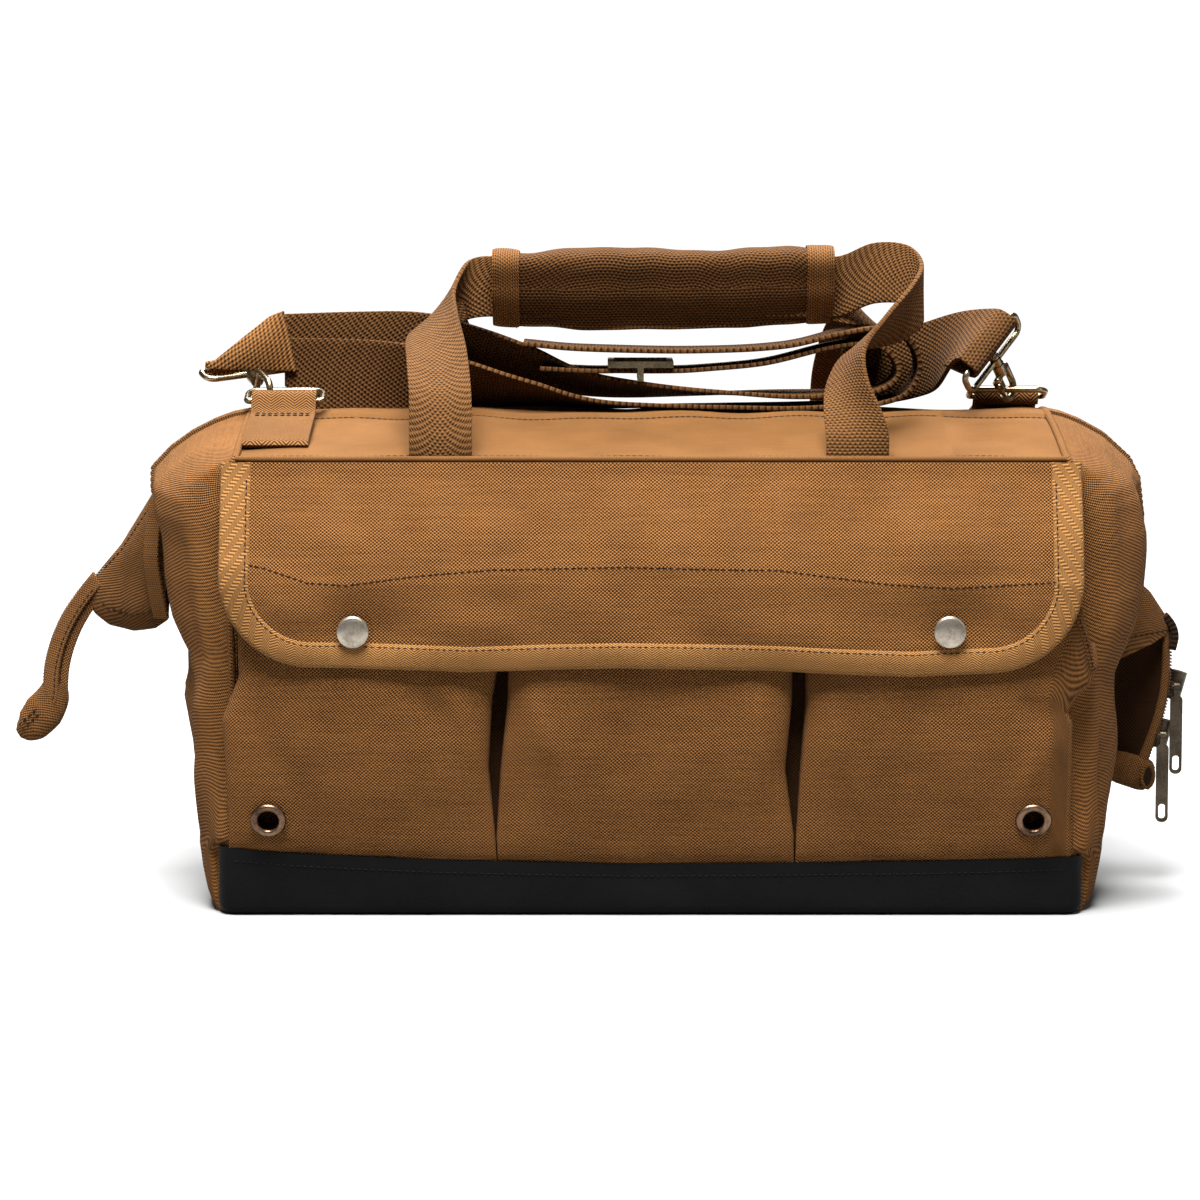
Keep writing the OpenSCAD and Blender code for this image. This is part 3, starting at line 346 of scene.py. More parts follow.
def cut_cloth(name, across, along, lay):
    """A cut of cloth: a grid of across by along faces, each point put where lay(u, v) says, in millimetres,
    with a map of the cloth laid flat: the way run across from its middle, and along from its last row."""
    set_down()
    bpy.ops.mesh.primitive_grid_add(x_subdivisions=across, y_subdivisions=along, size=1)
    cloth = bpy.context.object
    cloth.name = cloth.data.name = name
    mesh = cloth.data
    places = np.empty(len(mesh.vertices) * 3)
    mesh.vertices.foreach_get("co", places)
    u, v = places.reshape(-1, 3)[:, :2].T + 0.5
    laid = np.asarray(lay(u, v)) * MM
    mesh.vertices.foreach_set("co", laid.ravel())
    order = np.lexsort((np.round(u * across), np.round(v * along)))
    rows = laid[order].reshape(along + 1, across + 1, 3)
    run_u, run_v = np.zeros(rows.shape[:2]), np.zeros(rows.shape[:2])
    run_u[:, 1:] = np.cumsum(np.linalg.norm(np.diff(rows, axis=1), axis=2), axis=1)
    run_v[1:] = np.cumsum(np.linalg.norm(np.diff(rows, axis=0), axis=2), axis=0)
    run = np.empty((len(order), 2))
    run[order] = np.stack([run_u - run_u[:, across // 2][:, None], run_v - run_v[-1]], 2).reshape(-1, 2)
    corner = np.empty(len(mesh.loops), int)
    mesh.loops.foreach_get("vertex_index", corner)
    flat_map = mesh.uv_layers[0] if mesh.uv_layers else mesh.uv_layers.new(name="UVMap")
    flat_map.data.foreach_set("uv", run[corner].ravel())
    mesh.update()
    bpy.ops.object.shade_smooth()
    return cloth


def apply_all(piece):
    """Applies every modifier of a piece."""
    set_down(piece)
    for modifier in list(piece.modifiers):
        bpy.ops.object.modifier_apply(modifier=modifier.name)


def thicken(piece, thick, offset=-1.0, edge=0.0):
    """Gives cloth its thickness, and its cut edges a small rounding."""
    wall = piece.modifiers.new("thickness", "SOLIDIFY")
    wall.thickness = thick * MM
    wall.offset = offset
    if edge:
        soft = piece.modifiers.new("edge", "BEVEL")
        soft.width = edge * MM
        soft.segments = 2
        soft.limit_method = "ANGLE"
        soft.angle_limit = math.radians(50)
    apply_all(piece)
    bpy.ops.object.shade_smooth_by_angle(angle=math.radians(60))


def hang(piece, material, *nodes, slot="canvas", body="bag"):
    """Gives a piece its cloth, puts it on its body and lets it stand for its nodes; its slot is not used."""
    piece.data.materials.clear()
    piece.data.materials.append(material)
    if body:
        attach(piece, body)
    if nodes:
        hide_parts(*nodes)
    return piece


def bump_at(a, b, where, size, height):
    """A soft mound on the spot where, of a size across and along; its height is negative for a dent."""
    return height * mound(a - where[0], size[0]) * mound(b - where[1], size[1])


def creases(a, b, rows):
    """Soft folds along lines, each with its start and end, its width and its height, fading at both ends."""
    total = 0
    for start_a, start_b, end_a, end_b, wide, height in rows:
        way_a, way_b = end_a - start_a, end_b - start_b
        held = ramp(((a - start_a) * way_a + (b - start_b) * way_b) / (way_a ** 2 + way_b ** 2))
        away = np.hypot(a - start_a - held * way_a, b - start_b - held * way_b)
        total = total + height * mound(away, wide) * (0.25 + 0.75 * np.sin(np.pi * held))
    return total


def wall_face(x, z, side):
    """How far the wall stands out: slack waves, held flat at its seams."""
    free = ramp((WALL_TOP - z) / 25) * ramp((WALL_X - np.abs(x)) / 25)
    return side * (WALL_Y - 0.5 + 0.9 * free * ripple(x, z, 110, 11 + side))


for name, side, node, canvas in (("front_wall", -1, "front_panel", shade_canvas),
                                 ("rear_wall", 1, "rear_panel", duck_canvas)):
    def wall_place(u, v):
        x = -side * (u - 0.5) * 2 * WALL_X
        rise = v * (WALL_TOP - WALL_FOOT)
        return points(x, wall_face(x, WALL_FOOT + rise, side), WALL_FOOT + rise - 0.5 * v)

    wall = cut_cloth(name, 120, 62, wall_place)
    thicken(wall, CANVAS_THICK)
    hang(wall, canvas, node)

# Ends: one piece of canvas each, from the top seam down to the floor outside the black base.
# They bulge out above and hang in soft upright folds, deepest beside the corner seams.
END_TOP, END_FOOT = 246, 0.8
FOOT_OUT, FOOT_IN, FOOT_TURN = 8, 0.10, 6
# Soft upright dents beside the corner seams and in front of the gussets: depth, turn and width
CORNER_DENT, CORNER_TURN, CORNER_WIDE = 9, 80, 6
GUSSET_DENT, GUSSET_TURN, GUSSET_WIDE = 8, 22, 13
LEFT_REACH = (
    (0, 14), (4, 18), (10, 21), (20, 23.5), (41, 26), (82, 29), (104, 33.7), (117, 31.5), (130, 31.5),
    (149, 39.7), (170, 44.6), (191, 46.5), (205, 50), (217, 49), (227, 40), (235, 29), (241, 17),
    (244.5, 7), (246, -1))
RIGHT_REACH = (
    (0, 15), (4, 19.5), (10, 23), (20, 26), (38, 30), (79, 33), (104, 33), (119, 34.5), (129, 39), (146, 47),
    (160, 50.5), (193, 50), (212, 47), (222, 42), (234, 28), (241, 15), (244.5, 6), (246, -1))
CROWN_RISE, CROWN_POWER = 18, 1.5
END_POWER = 0.6
LEFT_FOLDS = (
    (-62, 205, -66, 120, 9, -5.5), (-38, 226, -52, 96, 8, 3.5), (-70, 118, -44, 30, 8, 4),
    (-34, 140, -58, 80, 9, -5), (-20, 90, -35, 5, 7, -3), (25, 200, 40, 60, 12, -4),
    (62, 200, 66, 40, 9, -4), (5, 120, -5, 20, 12, 3))
RIGHT_FOLDS = (
    (-60, 220, -64, 150, 9, -4), (-45, 215, -38, 135, 10, 3), (-66, 118, -50, 5, 5.5, -6),
    (-50, 118, -38, 60, 7, 4), (-28, 120, -26, 5, 6, -4.5), (30, 200, 35, 50, 12, -4),
    (60, 200, 66, 30, 9, -4), (0, 120, 8, 20, 12, 3))
# For each side: its reach and folds, where its foot turns in, where its upper dents start and end
END_SHAPES = {-1: (LEFT_REACH, LEFT_FOLDS, 37.5, 139, 214), 1: (RIGHT_REACH, RIGHT_FOLDS, 32.5, 150, 212)}


def crown(y):
    """Height of the bag's top across its depth."""
    return WALL_TOP + CROWN_RISE * (1 - (np.minimum(np.abs(y), WALL_Y) / WALL_Y) ** CROWN_POWER)


def end_place(side, turn, rise):
    """A place on an end: turn from -90 at the front to 90 at the rear, in degrees, rise from 0 to 1 up."""
    reach, folds, foot_turn, low, high = END_SHAPES[side]
    t = np.radians(turn)
    y = WALL_Y * np.sin(t)
    top = crown(y)
    z = END_FOOT + (top - END_FOOT) * rise
    round_in = np.abs(np.cos(t)) ** END_POWER
    foot = ramp((foot_turn - z) / FOOT_TURN)
    x = (WALL_X + lookup(z * (END_TOP / top) ** (rise ** 3), reach) * round_in
         + FOOT_OUT * foot * (1 - round_in))
    y = y * (1 - FOOT_IN * foot * (1 - 0.5 * round_in))
    free = round_in * ramp((top - z) / 30)
    x = x + free * creases(turn, z, folds)
    x -= (CORNER_DENT * mound(np.abs(turn) - CORNER_TURN, CORNER_WIDE) * ramp((top - z) / 12)
          * ramp((z - 45) / 40))
    near_gusset = ramp((z - low + 14) / 14) * ramp((high - z) / 16)
    x -= GUSSET_DENT * mound(np.abs(turn) - GUSSET_TURN, GUSSET_WIDE) * near_gusset
    x += free * 1.3 * ripple(turn * 1.3, z, 60, 20 + side)
    return points(side * x, y, z)


for name, side, node in (("left_end_cloth", -1, "left_end"), ("right_end_cloth", 1, "right_end")):
    end_cloth = cut_cloth(name, 130, 130, lambda u, v: end_place(side, side * (u - 0.5) * 180, v))
    thicken(end_cloth, CANVAS_THICK)
    hang(end_cloth, duck_canvas, node)

# Top: lighter, finer canvas in two halves that meet at the zip. The middle of each half folds
# down into the bag when the mouth opens, and its ends stay sewn to the end panels.
HINGE_Y, MOUTH_END = 85.7, 150
STRIP_HALF, STRIP_RISE, STRIP_GROOVE, SEAM_SINK = 19, 1.9, 0.8, 1.6
ZIP_EDGE = 3.2
TOP_THICK = 1.5
top_canvas = weave("top_canvas", (0.153, 0.069, 0.0212), (0.048, 0.0200, 0.0058), 0.0006, 0.0006, 0.0004,
                   cloud=0.45)


def top_height(x, y):
    """Height of the top: its crown, slack waves between the seams, and the raised zip edge."""
    free = ramp((WALL_Y - np.abs(y)) / 18) * ramp((WALL_X - np.abs(x)) / 22)
    slack = free * (1.5 * ripple(x, y * 1.6, 90, 31) - 1.2)
    corner = -SEAM_SINK * ramp((np.abs(x) - 186) / 20) ** 2
    strip = STRIP_RISE / (1 + np.exp((np.abs(y) - STRIP_HALF) / 0.4))
    groove = -STRIP_GROOVE * mound(np.abs(y) - STRIP_HALF - 1.6, 1.2)
    return crown(y) + 0.3 + slack + corner + strip + groove


def top_place(x, y):
    return points(x, y, top_height(x, y))


TOP_PARTS = (("left", -WALL_X, -MOUTH_END, 22), ("mouth", -MOUTH_END, MOUTH_END, 110),
             ("right", MOUTH_END, WALL_X, 22))
for half, side in (("front", -1), ("rear", 1)):
    near, far = (-WALL_Y, -ZIP_EDGE) if side < 0 else (ZIP_EDGE, WALL_Y)
    for part, start, end, count in TOP_PARTS:
        top_cloth = cut_cloth(f"top_{half}_{part}", count, 60, lambda u, v: top_place(
            start + u * (end - start), near + v * (far - near)))
        thicken(top_cloth, TOP_THICK)
        if part == "mouth":
            hang(top_cloth, top_canvas, f"top_{half}_border", f"mouth_{half}", slot="light_canvas", body=None)
            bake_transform(top_cloth)
        else:
            hang(top_cloth, top_canvas, f"top_{half}_border", slot="light_canvas")

# Front pockets: three bellows pockets of canvas, fuller in the middle, pleated at their sides so
# that dark gaps open between them. Each has a folded hem, and hangs over the edge of the base.
POCKET_FOOT, POCKET_TOP = 22, 166
POCKET_SWELL = (
    (0, 0), (0.012, 0.13), (0.06, 0.27), (0.14, 0.42), (0.25, 0.62), (0.42, 0.86), (0.62, 1), (0.84, 0.96),
    (1, 0.9))
# The left and the right edge of each pocket, as height and place across
POCKET_EDGES = {
    "left_pocket": (((22, -211), (42, -210), (71, -211), (100, -212.5), (121, -204), (145, -204.5),
                     (166, -205)),
                    ((22, -76.5), (40, -77.3), (75, -80.5), (110, -78.5), (125, -76), (166, -76))),
    "middle_pocket": (((22, -76), (40, -76.8), (75, -74.6), (110, -71), (166, -70)),
                      ((22, 71.5), (40, 71.4), (75, 66.8), (110, 70), (166, 70))),
    "right_pocket": (((22, 72.2), (40, 72.4), (75, 74.3), (110, 76.8), (166, 76)),
                     ((22, 210), (42, 209), (71, 209), (100, 209), (112, 207), (128, 211), (142, 218.5),
                      (156, 220), (166, 219))),
}
POCKET_FOLDS = (
    (-100, 122, -84, 70, 7, 1.8), (-118, 118, -98, 96, 6, -1.8), (-198, 112, -178, 60, 9, -1.6),
    (-60, 120, -48, 74, 7, 2.0), (-62, 104, -66, 40, 5, -1.4), (52, 118, 58, 60, 6, 1.7),
    (88, 118, 96, 66, 7, 1.6), (180, 112, 202, 98, 7, -3.0), (196, 96, 186, 60, 8, 2.0),
    (110, 112, 150, 104, 8, -1.5), (-20, 112, 30, 114, 7, -1.2))
EYELET_X, EYELET_Z, EYELET_GAP = 189.9, 49.5, 7.2
SIDE_POWER, SIDE_WIDE, SIDE_DEEP = 0.32, 68, 16
POCKET_DROOP = 29
POCKET_OUT, POCKET_BELLY = 1.2, 15.6


def squared(value, power):
    """The power of a value that keeps its sign."""
    return np.sign(value) * np.abs(value) ** power


def walk(line):
    """The way run along a line at each of its places."""
    return np.concatenate([[0], np.cumsum(np.linalg.norm(np.diff(line, axis=0), axis=1))])


def pocket_depth(x, z):
    """How far the pockets stand out from the wall at their middle."""
    foot = lookup(x, BASE_TOP) + 0.6
    return POCKET_OUT + POCKET_BELLY * lookup((z - foot) / (POCKET_TOP - 1 - foot), POCKET_SWELL)


def pocket_slack(x, z):
    """Soft folds in a pocket's face, flat along its foot."""
    return ramp((z - 30) / 30) * (creases(x, z, POCKET_FOLDS) + 0.9 * ripple(x, z, 75, 41))


even = np.linspace(-1, 1, 801)
near_end = 1 - np.abs(even)
fine = np.radians(90 * np.sign(even) * np.where(near_end > 0.5, 4 * np.abs(even) ** 3, 1 - 4 * near_end ** 3))
row_run = walk(np.stack([SIDE_WIDE * squared(np.sin(fine), SIDE_POWER),
                         SIDE_DEEP * np.abs(np.cos(fine)) ** SIDE_POWER], 1))


def pocket_row(u):
    """The rounded plan of a pocket, walked evenly: share across from -1 to 1, and share of depth."""
    t = np.interp(u, row_run / row_run[-1], fine)
    return squared(np.sin(t), SIDE_POWER), np.abs(np.cos(t)) ** SIDE_POWER


def pocket_place(name, u, z, grow=0.0):
    left, right = (lookup(z, edge) for edge in POCKET_EDGES[name])
    across, out = pocket_row(u)
    if name == "right_pocket":
        z = z - POCKET_DROOP * ramp((across - 0.82) / 0.14) ** 1.5 * ramp((z - 96) / 56)
    x = (left + right) / 2 + across * ((right - left) / 2 + grow)
    return points(x, -WALL_Y - out * (pocket_depth(x, z) + pocket_slack(x, z) + grow), z)


def open_eyelet(cloth):
    """Takes out the faces under an eyelet's ring, so that its hole looks into the pocket."""
    set_down(cloth)
    bpy.ops.object.mode_set(mode="EDIT")
    choose(cloth, "faces", lambda middle, face: middle.y < -105 and math.hypot(
        abs(middle.x) - EYELET_X, middle.z - EYELET_Z) < EYELET_GAP)
    bpy.ops.mesh.delete(type="FACE")
    bpy.ops.object.mode_set(mode="OBJECT")


for name in POCKET_EDGES:
    pocket = cut_cloth(name + "_cloth", 96, 72, lambda u, v: pocket_place(
        name, u, POCKET_FOOT + v * (POCKET_TOP - POCKET_FOOT)))
    if name != "middle_pocket":
        open_eyelet(pocket)
    thicken(pocket, CANVAS_THICK)
    hang(pocket, duck_canvas, name)

# Flap: one piece of canvas sewn in under the front edge of the top, with rounded lower corners
# and a stitched ridge across it. It hangs over the pockets and is pulled in at the two snaps.
FLAP_TOP, FLAP_LOW, FLAP_HALF, FLAP_CORNER = 227, 125, 211, 44
FLAP_FOOT = (
    (-211, 129), (-147, 128.0), (-91, 126.2), (-15, 128.2), (63, 126.6), (128, 123.6), (167, 125.4),
    (211, 127))
FLAP_OUT = ((125, 18.9), (168, 18.9), (178, 17.4), (189, 14.4), (201, 9.8), (212, 5.1), (220, 1.7), (227, 0))
RIDGE = (
    (-203, 181), (-190, 178), (-169, 171), (-150, 169.8), (-118, 174), (-78, 177.4), (-15, 178.6), (63, 177),
    (115, 170.4), (147, 168.4), (175, 170), (203, 171.6))
SNAP_X, SNAP_Z, SNAP_SPREAD, SNAP_DENT = 146.5, 145.2, (26, 15), -3.2
FLAP_THICK = 2.2
FLAP_GAP = 2.6
FLAP_FOLDS = (
    (-190, 200, -120, 182, 9, 1.4), (-100, 192, -40, 200, 12, 1.2), (-110, 150, -60, 146, 8, 1.6),
    (20, 150, 100, 142, 9, 1.5), (-190, 160, -160, 150, 8, 1.4), (100, 192, 190, 186, 12, 1.5),
    (170, 160, 196, 150, 9, 1.2), (-60, 168, 60, 170, 8, -1.1))


def flap_face(x, z):
    """How far in front of the wall the flap's face lies, as a depth in millimetres."""
    step = 0.9 / (1 + np.exp((z - lookup(x, RIDGE)) / 1.3))
    snaps = sum(bump_at(x, z, (s * SNAP_X, SNAP_Z), SNAP_SPREAD, SNAP_DENT) for s in (-1, 1))
    slack = step + snaps + creases(x, z, FLAP_FOLDS) + 1.1 * ripple(x, z * 1.4, 95, 52)
    return lookup(z, FLAP_OUT) + ramp((FLAP_TOP - z) / 30) * slack - 2.2 * ramp((138 - z) / 14) ** 1.5


def flap_edge(s):
    """The flap's rim, s from 0 at the top left down and round to 1 at the top right: place and inward way."""
    side, arc = FLAP_TOP - FLAP_LOW - FLAP_CORNER, FLAP_CORNER * math.pi / 2
    middle = side + arc + FLAP_HALF - FLAP_CORNER
    run = s * 2 * middle
    mirror = np.where(run > middle, -1, 1)
    run = np.minimum(run, 2 * middle - run)
    turn = np.clip((run - side) / FLAP_CORNER, 0, math.pi / 2)
    inx, inz = np.cos(turn), np.sin(turn)
    x = -FLAP_HALF + FLAP_CORNER * (1 - inx) + np.maximum(run - side - arc, 0)
    z = np.where(run < side, FLAP_TOP - run, FLAP_LOW + FLAP_CORNER * (1 - inz))
    x = x * mirror
    return x, z + (lookup(x, FLAP_FOOT) - FLAP_LOW) * ramp((FLAP_TOP - z) / 90), inx * mirror, inz


def flap_place(u, v):
    across = np.abs(2 * u - 1)
    knee = (FLAP_HALF - FLAP_CORNER) / (FLAP_HALF - FLAP_CORNER + FLAP_CORNER * math.pi / 2)
    turn = ramp((across - knee) / (1 - knee)) * math.pi / 2
    x = np.sign(2 * u - 1) * (np.minimum(across / knee, 1) * (FLAP_HALF - FLAP_CORNER)
                              + FLAP_CORNER * np.sin(turn))
    foot = FLAP_LOW + FLAP_CORNER * (1 - np.cos(turn))
    foot = foot + (lookup(x, FLAP_FOOT) - FLAP_LOW) * (FLAP_TOP - foot) / (FLAP_TOP - FLAP_LOW)
    z = foot + v * (FLAP_TOP - foot)
    return points(x, -WALL_Y - FLAP_GAP - flap_face(x, z), z)


flap_cloth = cut_cloth("flap_cloth", 210, 70, flap_place)
thicken(flap_cloth, FLAP_THICK)
hang(flap_cloth, duck_canvas, "flap", body="flap")

# Binding: a herringbone tape folded over the flap's rim, lighter than the canvas, with one row
# of brown stitches through both its edges.
BIND_SIDE, BIND_FOOT, BIND_BACK = 13.5, 11.5, 10
bind_tape = weave("binding_tape", (0.245, 0.118, 0.038), (0.072, 0.032, 0.0092), 0.0009, 0.0006, 0.00025,
                  twill=0.0045, cloud=0.4)


def binding_place(u, v):
    """The tape's section: over the front, round the rim and back up behind."""
    x, z, inx, inz = flap_edge(1 - u)
    wide = BIND_SIDE + (BIND_FOOT - BIND_SIDE) * inz
    round_rim = ramp((v - 0.44) / 0.12) * math.pi
    inward = wide * ramp(1 - v / 0.44) + BIND_BACK * np.maximum(v - 0.56, 0) / 0.44 - 1.4 * np.sin(round_rim)
    x, z = x + inx * inward, z + inz * inward
    front = (1 + np.cos(round_rim)) / 2
    proud = 0.9 - 0.8 * mound(v, 0.035) + 0.5 * np.sin(ramp(v / 0.44) * math.pi)
    depth = FLAP_GAP + flap_face(x, z) + front * proud - (1 - front) * (FLAP_THICK + 0.8)
    return points(x, -WALL_Y - depth, np.minimum(z, FLAP_TOP))


flap_binding = cut_cloth("flap_rim_tape", 260, 26, binding_place)
thicken(flap_binding, 0.5)
hang(flap_binding, bind_tape, "flap_binding", slot="light_canvas", body="flap")

# Stitches: waxed brown thread, each stitch a short rounded bead sunk in the cloth. They run in
# rows beside every hem and seam, a few millimetres apart.
brown_thread, thread_tree, thread_shader = tree_of("brown_thread")
colour_by(thread_tree, thread_shader, noise_node(thread_tree, object_place(thread_tree), 0.004),
          (0.3, (0.006, 0.0025, 0.001)), (0.7, (0.026, 0.011, 0.004)))
dial(thread_shader, Roughness=0.8, Specular_IOR_Level=0.1)
black_thread, _, black_shader = tree_of("black_thread")
dial(black_shader, Base_Color=(0.002, 0.002, 0.0022, 1), Roughness=0.6, Specular_IOR_Level=0.08)

set_down()
bpy.ops.mesh.primitive_uv_sphere_add(segments=6, ring_count=4, radius=0.5)
bead = bpy.context.object
bead_places = np.array([v.co[:] for v in bead.data.vertices])
bead_faces = [tuple(face.vertices) for face in bead.data.polygons]
bpy.data.objects.remove(bead)


def unit(rows):
    """Each row made one long."""
    return rows / np.linalg.norm(rows, axis=1)[:, None]


def on_line(marks, run, line):
    """The places of a line at marks along its run."""
    return np.stack([np.interp(marks, run, column) for column in line.T], 1)


def face_out(piece, tube=False):
    """Turns the faces of a piece out, after sewing the long seam and filling the ends of a tube."""
    set_down(piece)
    bpy.ops.object.mode_set(mode="EDIT")
    bpy.ops.mesh.select_all(action="SELECT")
    if tube:
        bpy.ops.mesh.remove_doubles(threshold=0.00001)
        bpy.ops.mesh.fill_holes(sides=0)
    bpy.ops.mesh.normals_make_consistent(inside=False)
    bpy.ops.object.mode_set(mode="OBJECT")
    if tube:
        bpy.ops.object.shade_smooth_by_angle(angle=math.radians(60))
    else:
        bpy.ops.object.shade_smooth()


def sew(name, *seams, body="bag", thread=brown_thread, slot="canvas", pitch=3.2, long=2.5, thick=0.8,
        wide=0.0):
    """A row of stitches along each seam, a line of places with the outward way at each, in millimetres."""
    places, faces = [], []
    for line, outward in seams:
        run = walk(line)
        marks = np.arange(pitch / 2, run[-1], pitch)
        along = unit(on_line(marks + 0.6, run, line) - on_line(marks - 0.6, run, line))
        out = on_line(marks, run, outward)
        out = unit(out - (out * along).sum(1)[:, None] * along)
        for spot, a, b, c in zip(on_line(marks, run, line), along, np.cross(out, along), out):
            first = len(places)
            places.extend(spot + bead_places[:, 2:] * a * long + bead_places[:, :1] * b * (wide or thick)
                          + bead_places[:, 1:2] * c * thick * 0.8)
            faces.extend(tuple(k + first for k in face) for face in bead_faces)
    mesh = bpy.data.meshes.new(name)
    mesh.from_pydata((np.array(places) * MM).tolist(), [], faces)
    row = bpy.data.objects.new(name, mesh)
    studio.collection.objects.link(row)
    face_out(row)
    return hang(row, thread, slot=slot, body=body)


def facing(line, x=0, y=-1, z=0):
    """A line of places with the same outward way at all of them, the front if none is given."""
    return line, np.tile(np.array((x, y, z), float), (len(line), 1))


rim_x, rim_z, rim_inx, rim_inz = flap_edge(np.linspace(0.014, 0.986, 900))
rim_in = (BIND_SIDE + (BIND_FOOT - BIND_SIDE) * rim_inz) - 1.8
rim_x, rim_z = rim_x + rim_inx * rim_in, rim_z + rim_inz * rim_in
ridge_x = np.linspace(-198, 198, 500)
ridge_z = lookup(ridge_x, RIDGE) - 1.8
rim_line = points(rim_x, -WALL_Y - FLAP_GAP - 1.0 - flap_face(rim_x, rim_z), rim_z)
ridge_line = points(ridge_x, -WALL_Y - FLAP_GAP - 0.15 - flap_face(ridge_x, ridge_z), ridge_z)
sew("flap_stitches", facing(rim_line), facing(ridge_line), body="flap")

base_x = np.linspace(-208, 208, 400)
base_seams = []
for side in (-1, 1):
    worn = slacken_base(points(base_x, side * BASE_DEEP / 2, 22.0))
    seam_z = lookup(base_x, BASE_TOP) - 6.4
    base_seams.append(facing(points(base_x, worn[:, 1] + side * 0.15, seam_z), 0, side, 0))
sew("base_stitches", *base_seams, thread=black_thread, slot="base_cloth", pitch=3.4, long=2.4)

# Webbing: coarse cotton tape, woven in a basket of fat dots, for the handles, the ring tabs and
# the shoulder strap.
WEB_THICK = 2.3
HANDLE_WIDE, STRAP_WIDE = 31, 38
handle_web = weave("handle_webbing", (0.112, 0.050, 0.0155), (0.014, 0.0055, 0.0016), 0.00125, 0.0016, 0.0009,
                   ribs=0.3, cloud=0.3)


def trace(t, stations):
    """Places on a smooth line through the stations, t from 0 to 1."""
    rows = np.asarray(stations, float)
    rows = np.vstack([2 * rows[0] - rows[1], rows, 2 * rows[-1] - rows[-2]])
    place = ramp(t) * (len(stations) - 1)
    step = np.minimum(place.astype(int), len(stations) - 2)
    f = (place - step)[:, None]
    a, b, c, d = rows[step], rows[step + 1], rows[step + 2], rows[step + 3]
    return 0.5 * (2 * b + (c - a) * f + (2 * a - 5 * b + 4 * c - d) * f ** 2
                  + (3 * b - a - 3 * c + d) * f ** 3)


def band(name, stations, wide, thick=WEB_THICK, fine_step=2.6, across=8, flutter=0.0, seed=0):
    """A length of tape: stations give the middle line and the way across it, in millimetres."""
    t = np.linspace(0, 1, 400)
    run = walk(trace(t, stations)[:, :3])

    def lay(u, v):
        at, ahead, behind = (trace(np.interp(v * run[-1] + k, run, t), stations) for k in (0, 1, -1))
        way = unit(at[:, 3:])
        out = unit(np.cross(way, (ahead - behind)[:, :3]))
        wave = flutter * ripple(v * run[-1], u * wide, 60, seed) * ramp(np.minimum(v, 1 - v) * 8)
        return at[:, :3] + way * (u[:, None] - 0.5) * wide + out * wave[:, None]

    tape = cut_cloth(name, across, max(4, int(run[-1] / fine_step)), lay)
    thicken(tape, thick, 0.0, 0.5)
    return tape


LEG_X, LEG_Y, LEG_LEAN, LEG_FOOT, LEG_RISE = 103, 100.6, 4, 229.295, 80.705
LEG_GAP, GRIP_MIDDLE, GRIP_HALF = 1.7, 7.2, 86
LEFT_LEG = (
    (-1.01, 1, 0, -1, 0, 0), (-1.01, 0.985, 0.14, -1, 0, 0), (-1.015, 0.88, 0.38, -1, 0, 0),
    (-1.04, 0.62, 0.6, -0.97, 0.12, -0.12), (-1.07, 0.32, 0.76, -0.84, 0.35, -0.4),
    (-1.05, 0.10, 0.86, -0.55, 0.55, -0.63), (-0.97, 0, 0.93, -0.22, 0.4, -0.88),
    (-0.9, 0, 0.98, -0.05, 0.1, -1), (-0.83, 0.02, 1, 0, 0, -1))
REAR_LEG = tuple((-x, y, z, -a, b, c) for x, y, z, a, b, c in reversed(LEFT_LEG))
CURL = (
    (0.97, 0.03, 1.01, 0, 0, -1), (1.12, 0.12, 1.09, 0, -0.1, -1), (1.28, 0.22, 1.08, 0, -0.2, -1),
    (1.34, 0.33, 0.97, 0, -0.1, -1), (1.25, 0.45, 0.85, -0.2, 0.3, -0.95),
    (1.09, 0.58, 0.74, -0.4, 0.7, -0.6), (0.98, 0.7, 0.61, -0.35, 0.9, -0.25),
    (0.95, 0.82, 0.44, -0.6, 0.78, -0.1), (0.97, 0.92, 0.28, -0.88, 0.45, 0),
    (0.99, 0.985, 0.13, -1, 0.1, 0), (0.99, 1, 0, -1, 0, 0))
GRIP_X = (-0.95, -0.4, 0.4, 0.95)


def leg_stations(rows, side):
    return [(x * LEG_X, side * (y * LEG_Y + (1 - y) * LEG_GAP) - (1 - y) * LEG_LEAN, LEG_FOOT + z * LEG_RISE,
             a, -side * b, c) for x, y, z, a, b, c in rows]


for name, side, right_leg in (("front_handle", -1, CURL), ("rear_handle", 1, REAR_LEG)):
    in_grip = [(GRIP_MIDDLE + x * GRIP_HALF, side * LEG_GAP - LEG_LEAN, LEG_FOOT + LEG_RISE, 0, 0, -1)
               for x in GRIP_X]
    handle = band(name + "_web", leg_stations(LEFT_LEG, side) + in_grip + leg_stations(right_leg, side),
                  HANDLE_WIDE, across=10)
    hang(handle, handle_web, name, slot="webbing", body=None)
    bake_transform(handle)

# Grip: ribbed canvas wrapped round padding and both handles, with a stitched tape at each end.
GRIP_START, GRIP_END, GRIP_Z = -78.8, 93.2, 310
GRIP_HIGH, GRIP_DEEP, GRIP_TAPE = 42, 36, 12
# The grip's canvas is far darker than the bag's: painted shade for its shaded front and underside.
grip_canvas_painted_shade = weave("grip_canvas_painted_shade", (0.086, 0.037, 0.0112), (0.0040, 0.0015, 0.0005), 0.0011, 0.0017, 0.0008,
                    ribs=0.45, cloud=0.25)
grip_edge = weave("grip_edge_canvas", (0.145, 0.063, 0.0195), (0.022, 0.009, 0.0026), 0.0009, 0.0012, 0.0005,
                  ribs=0.4)
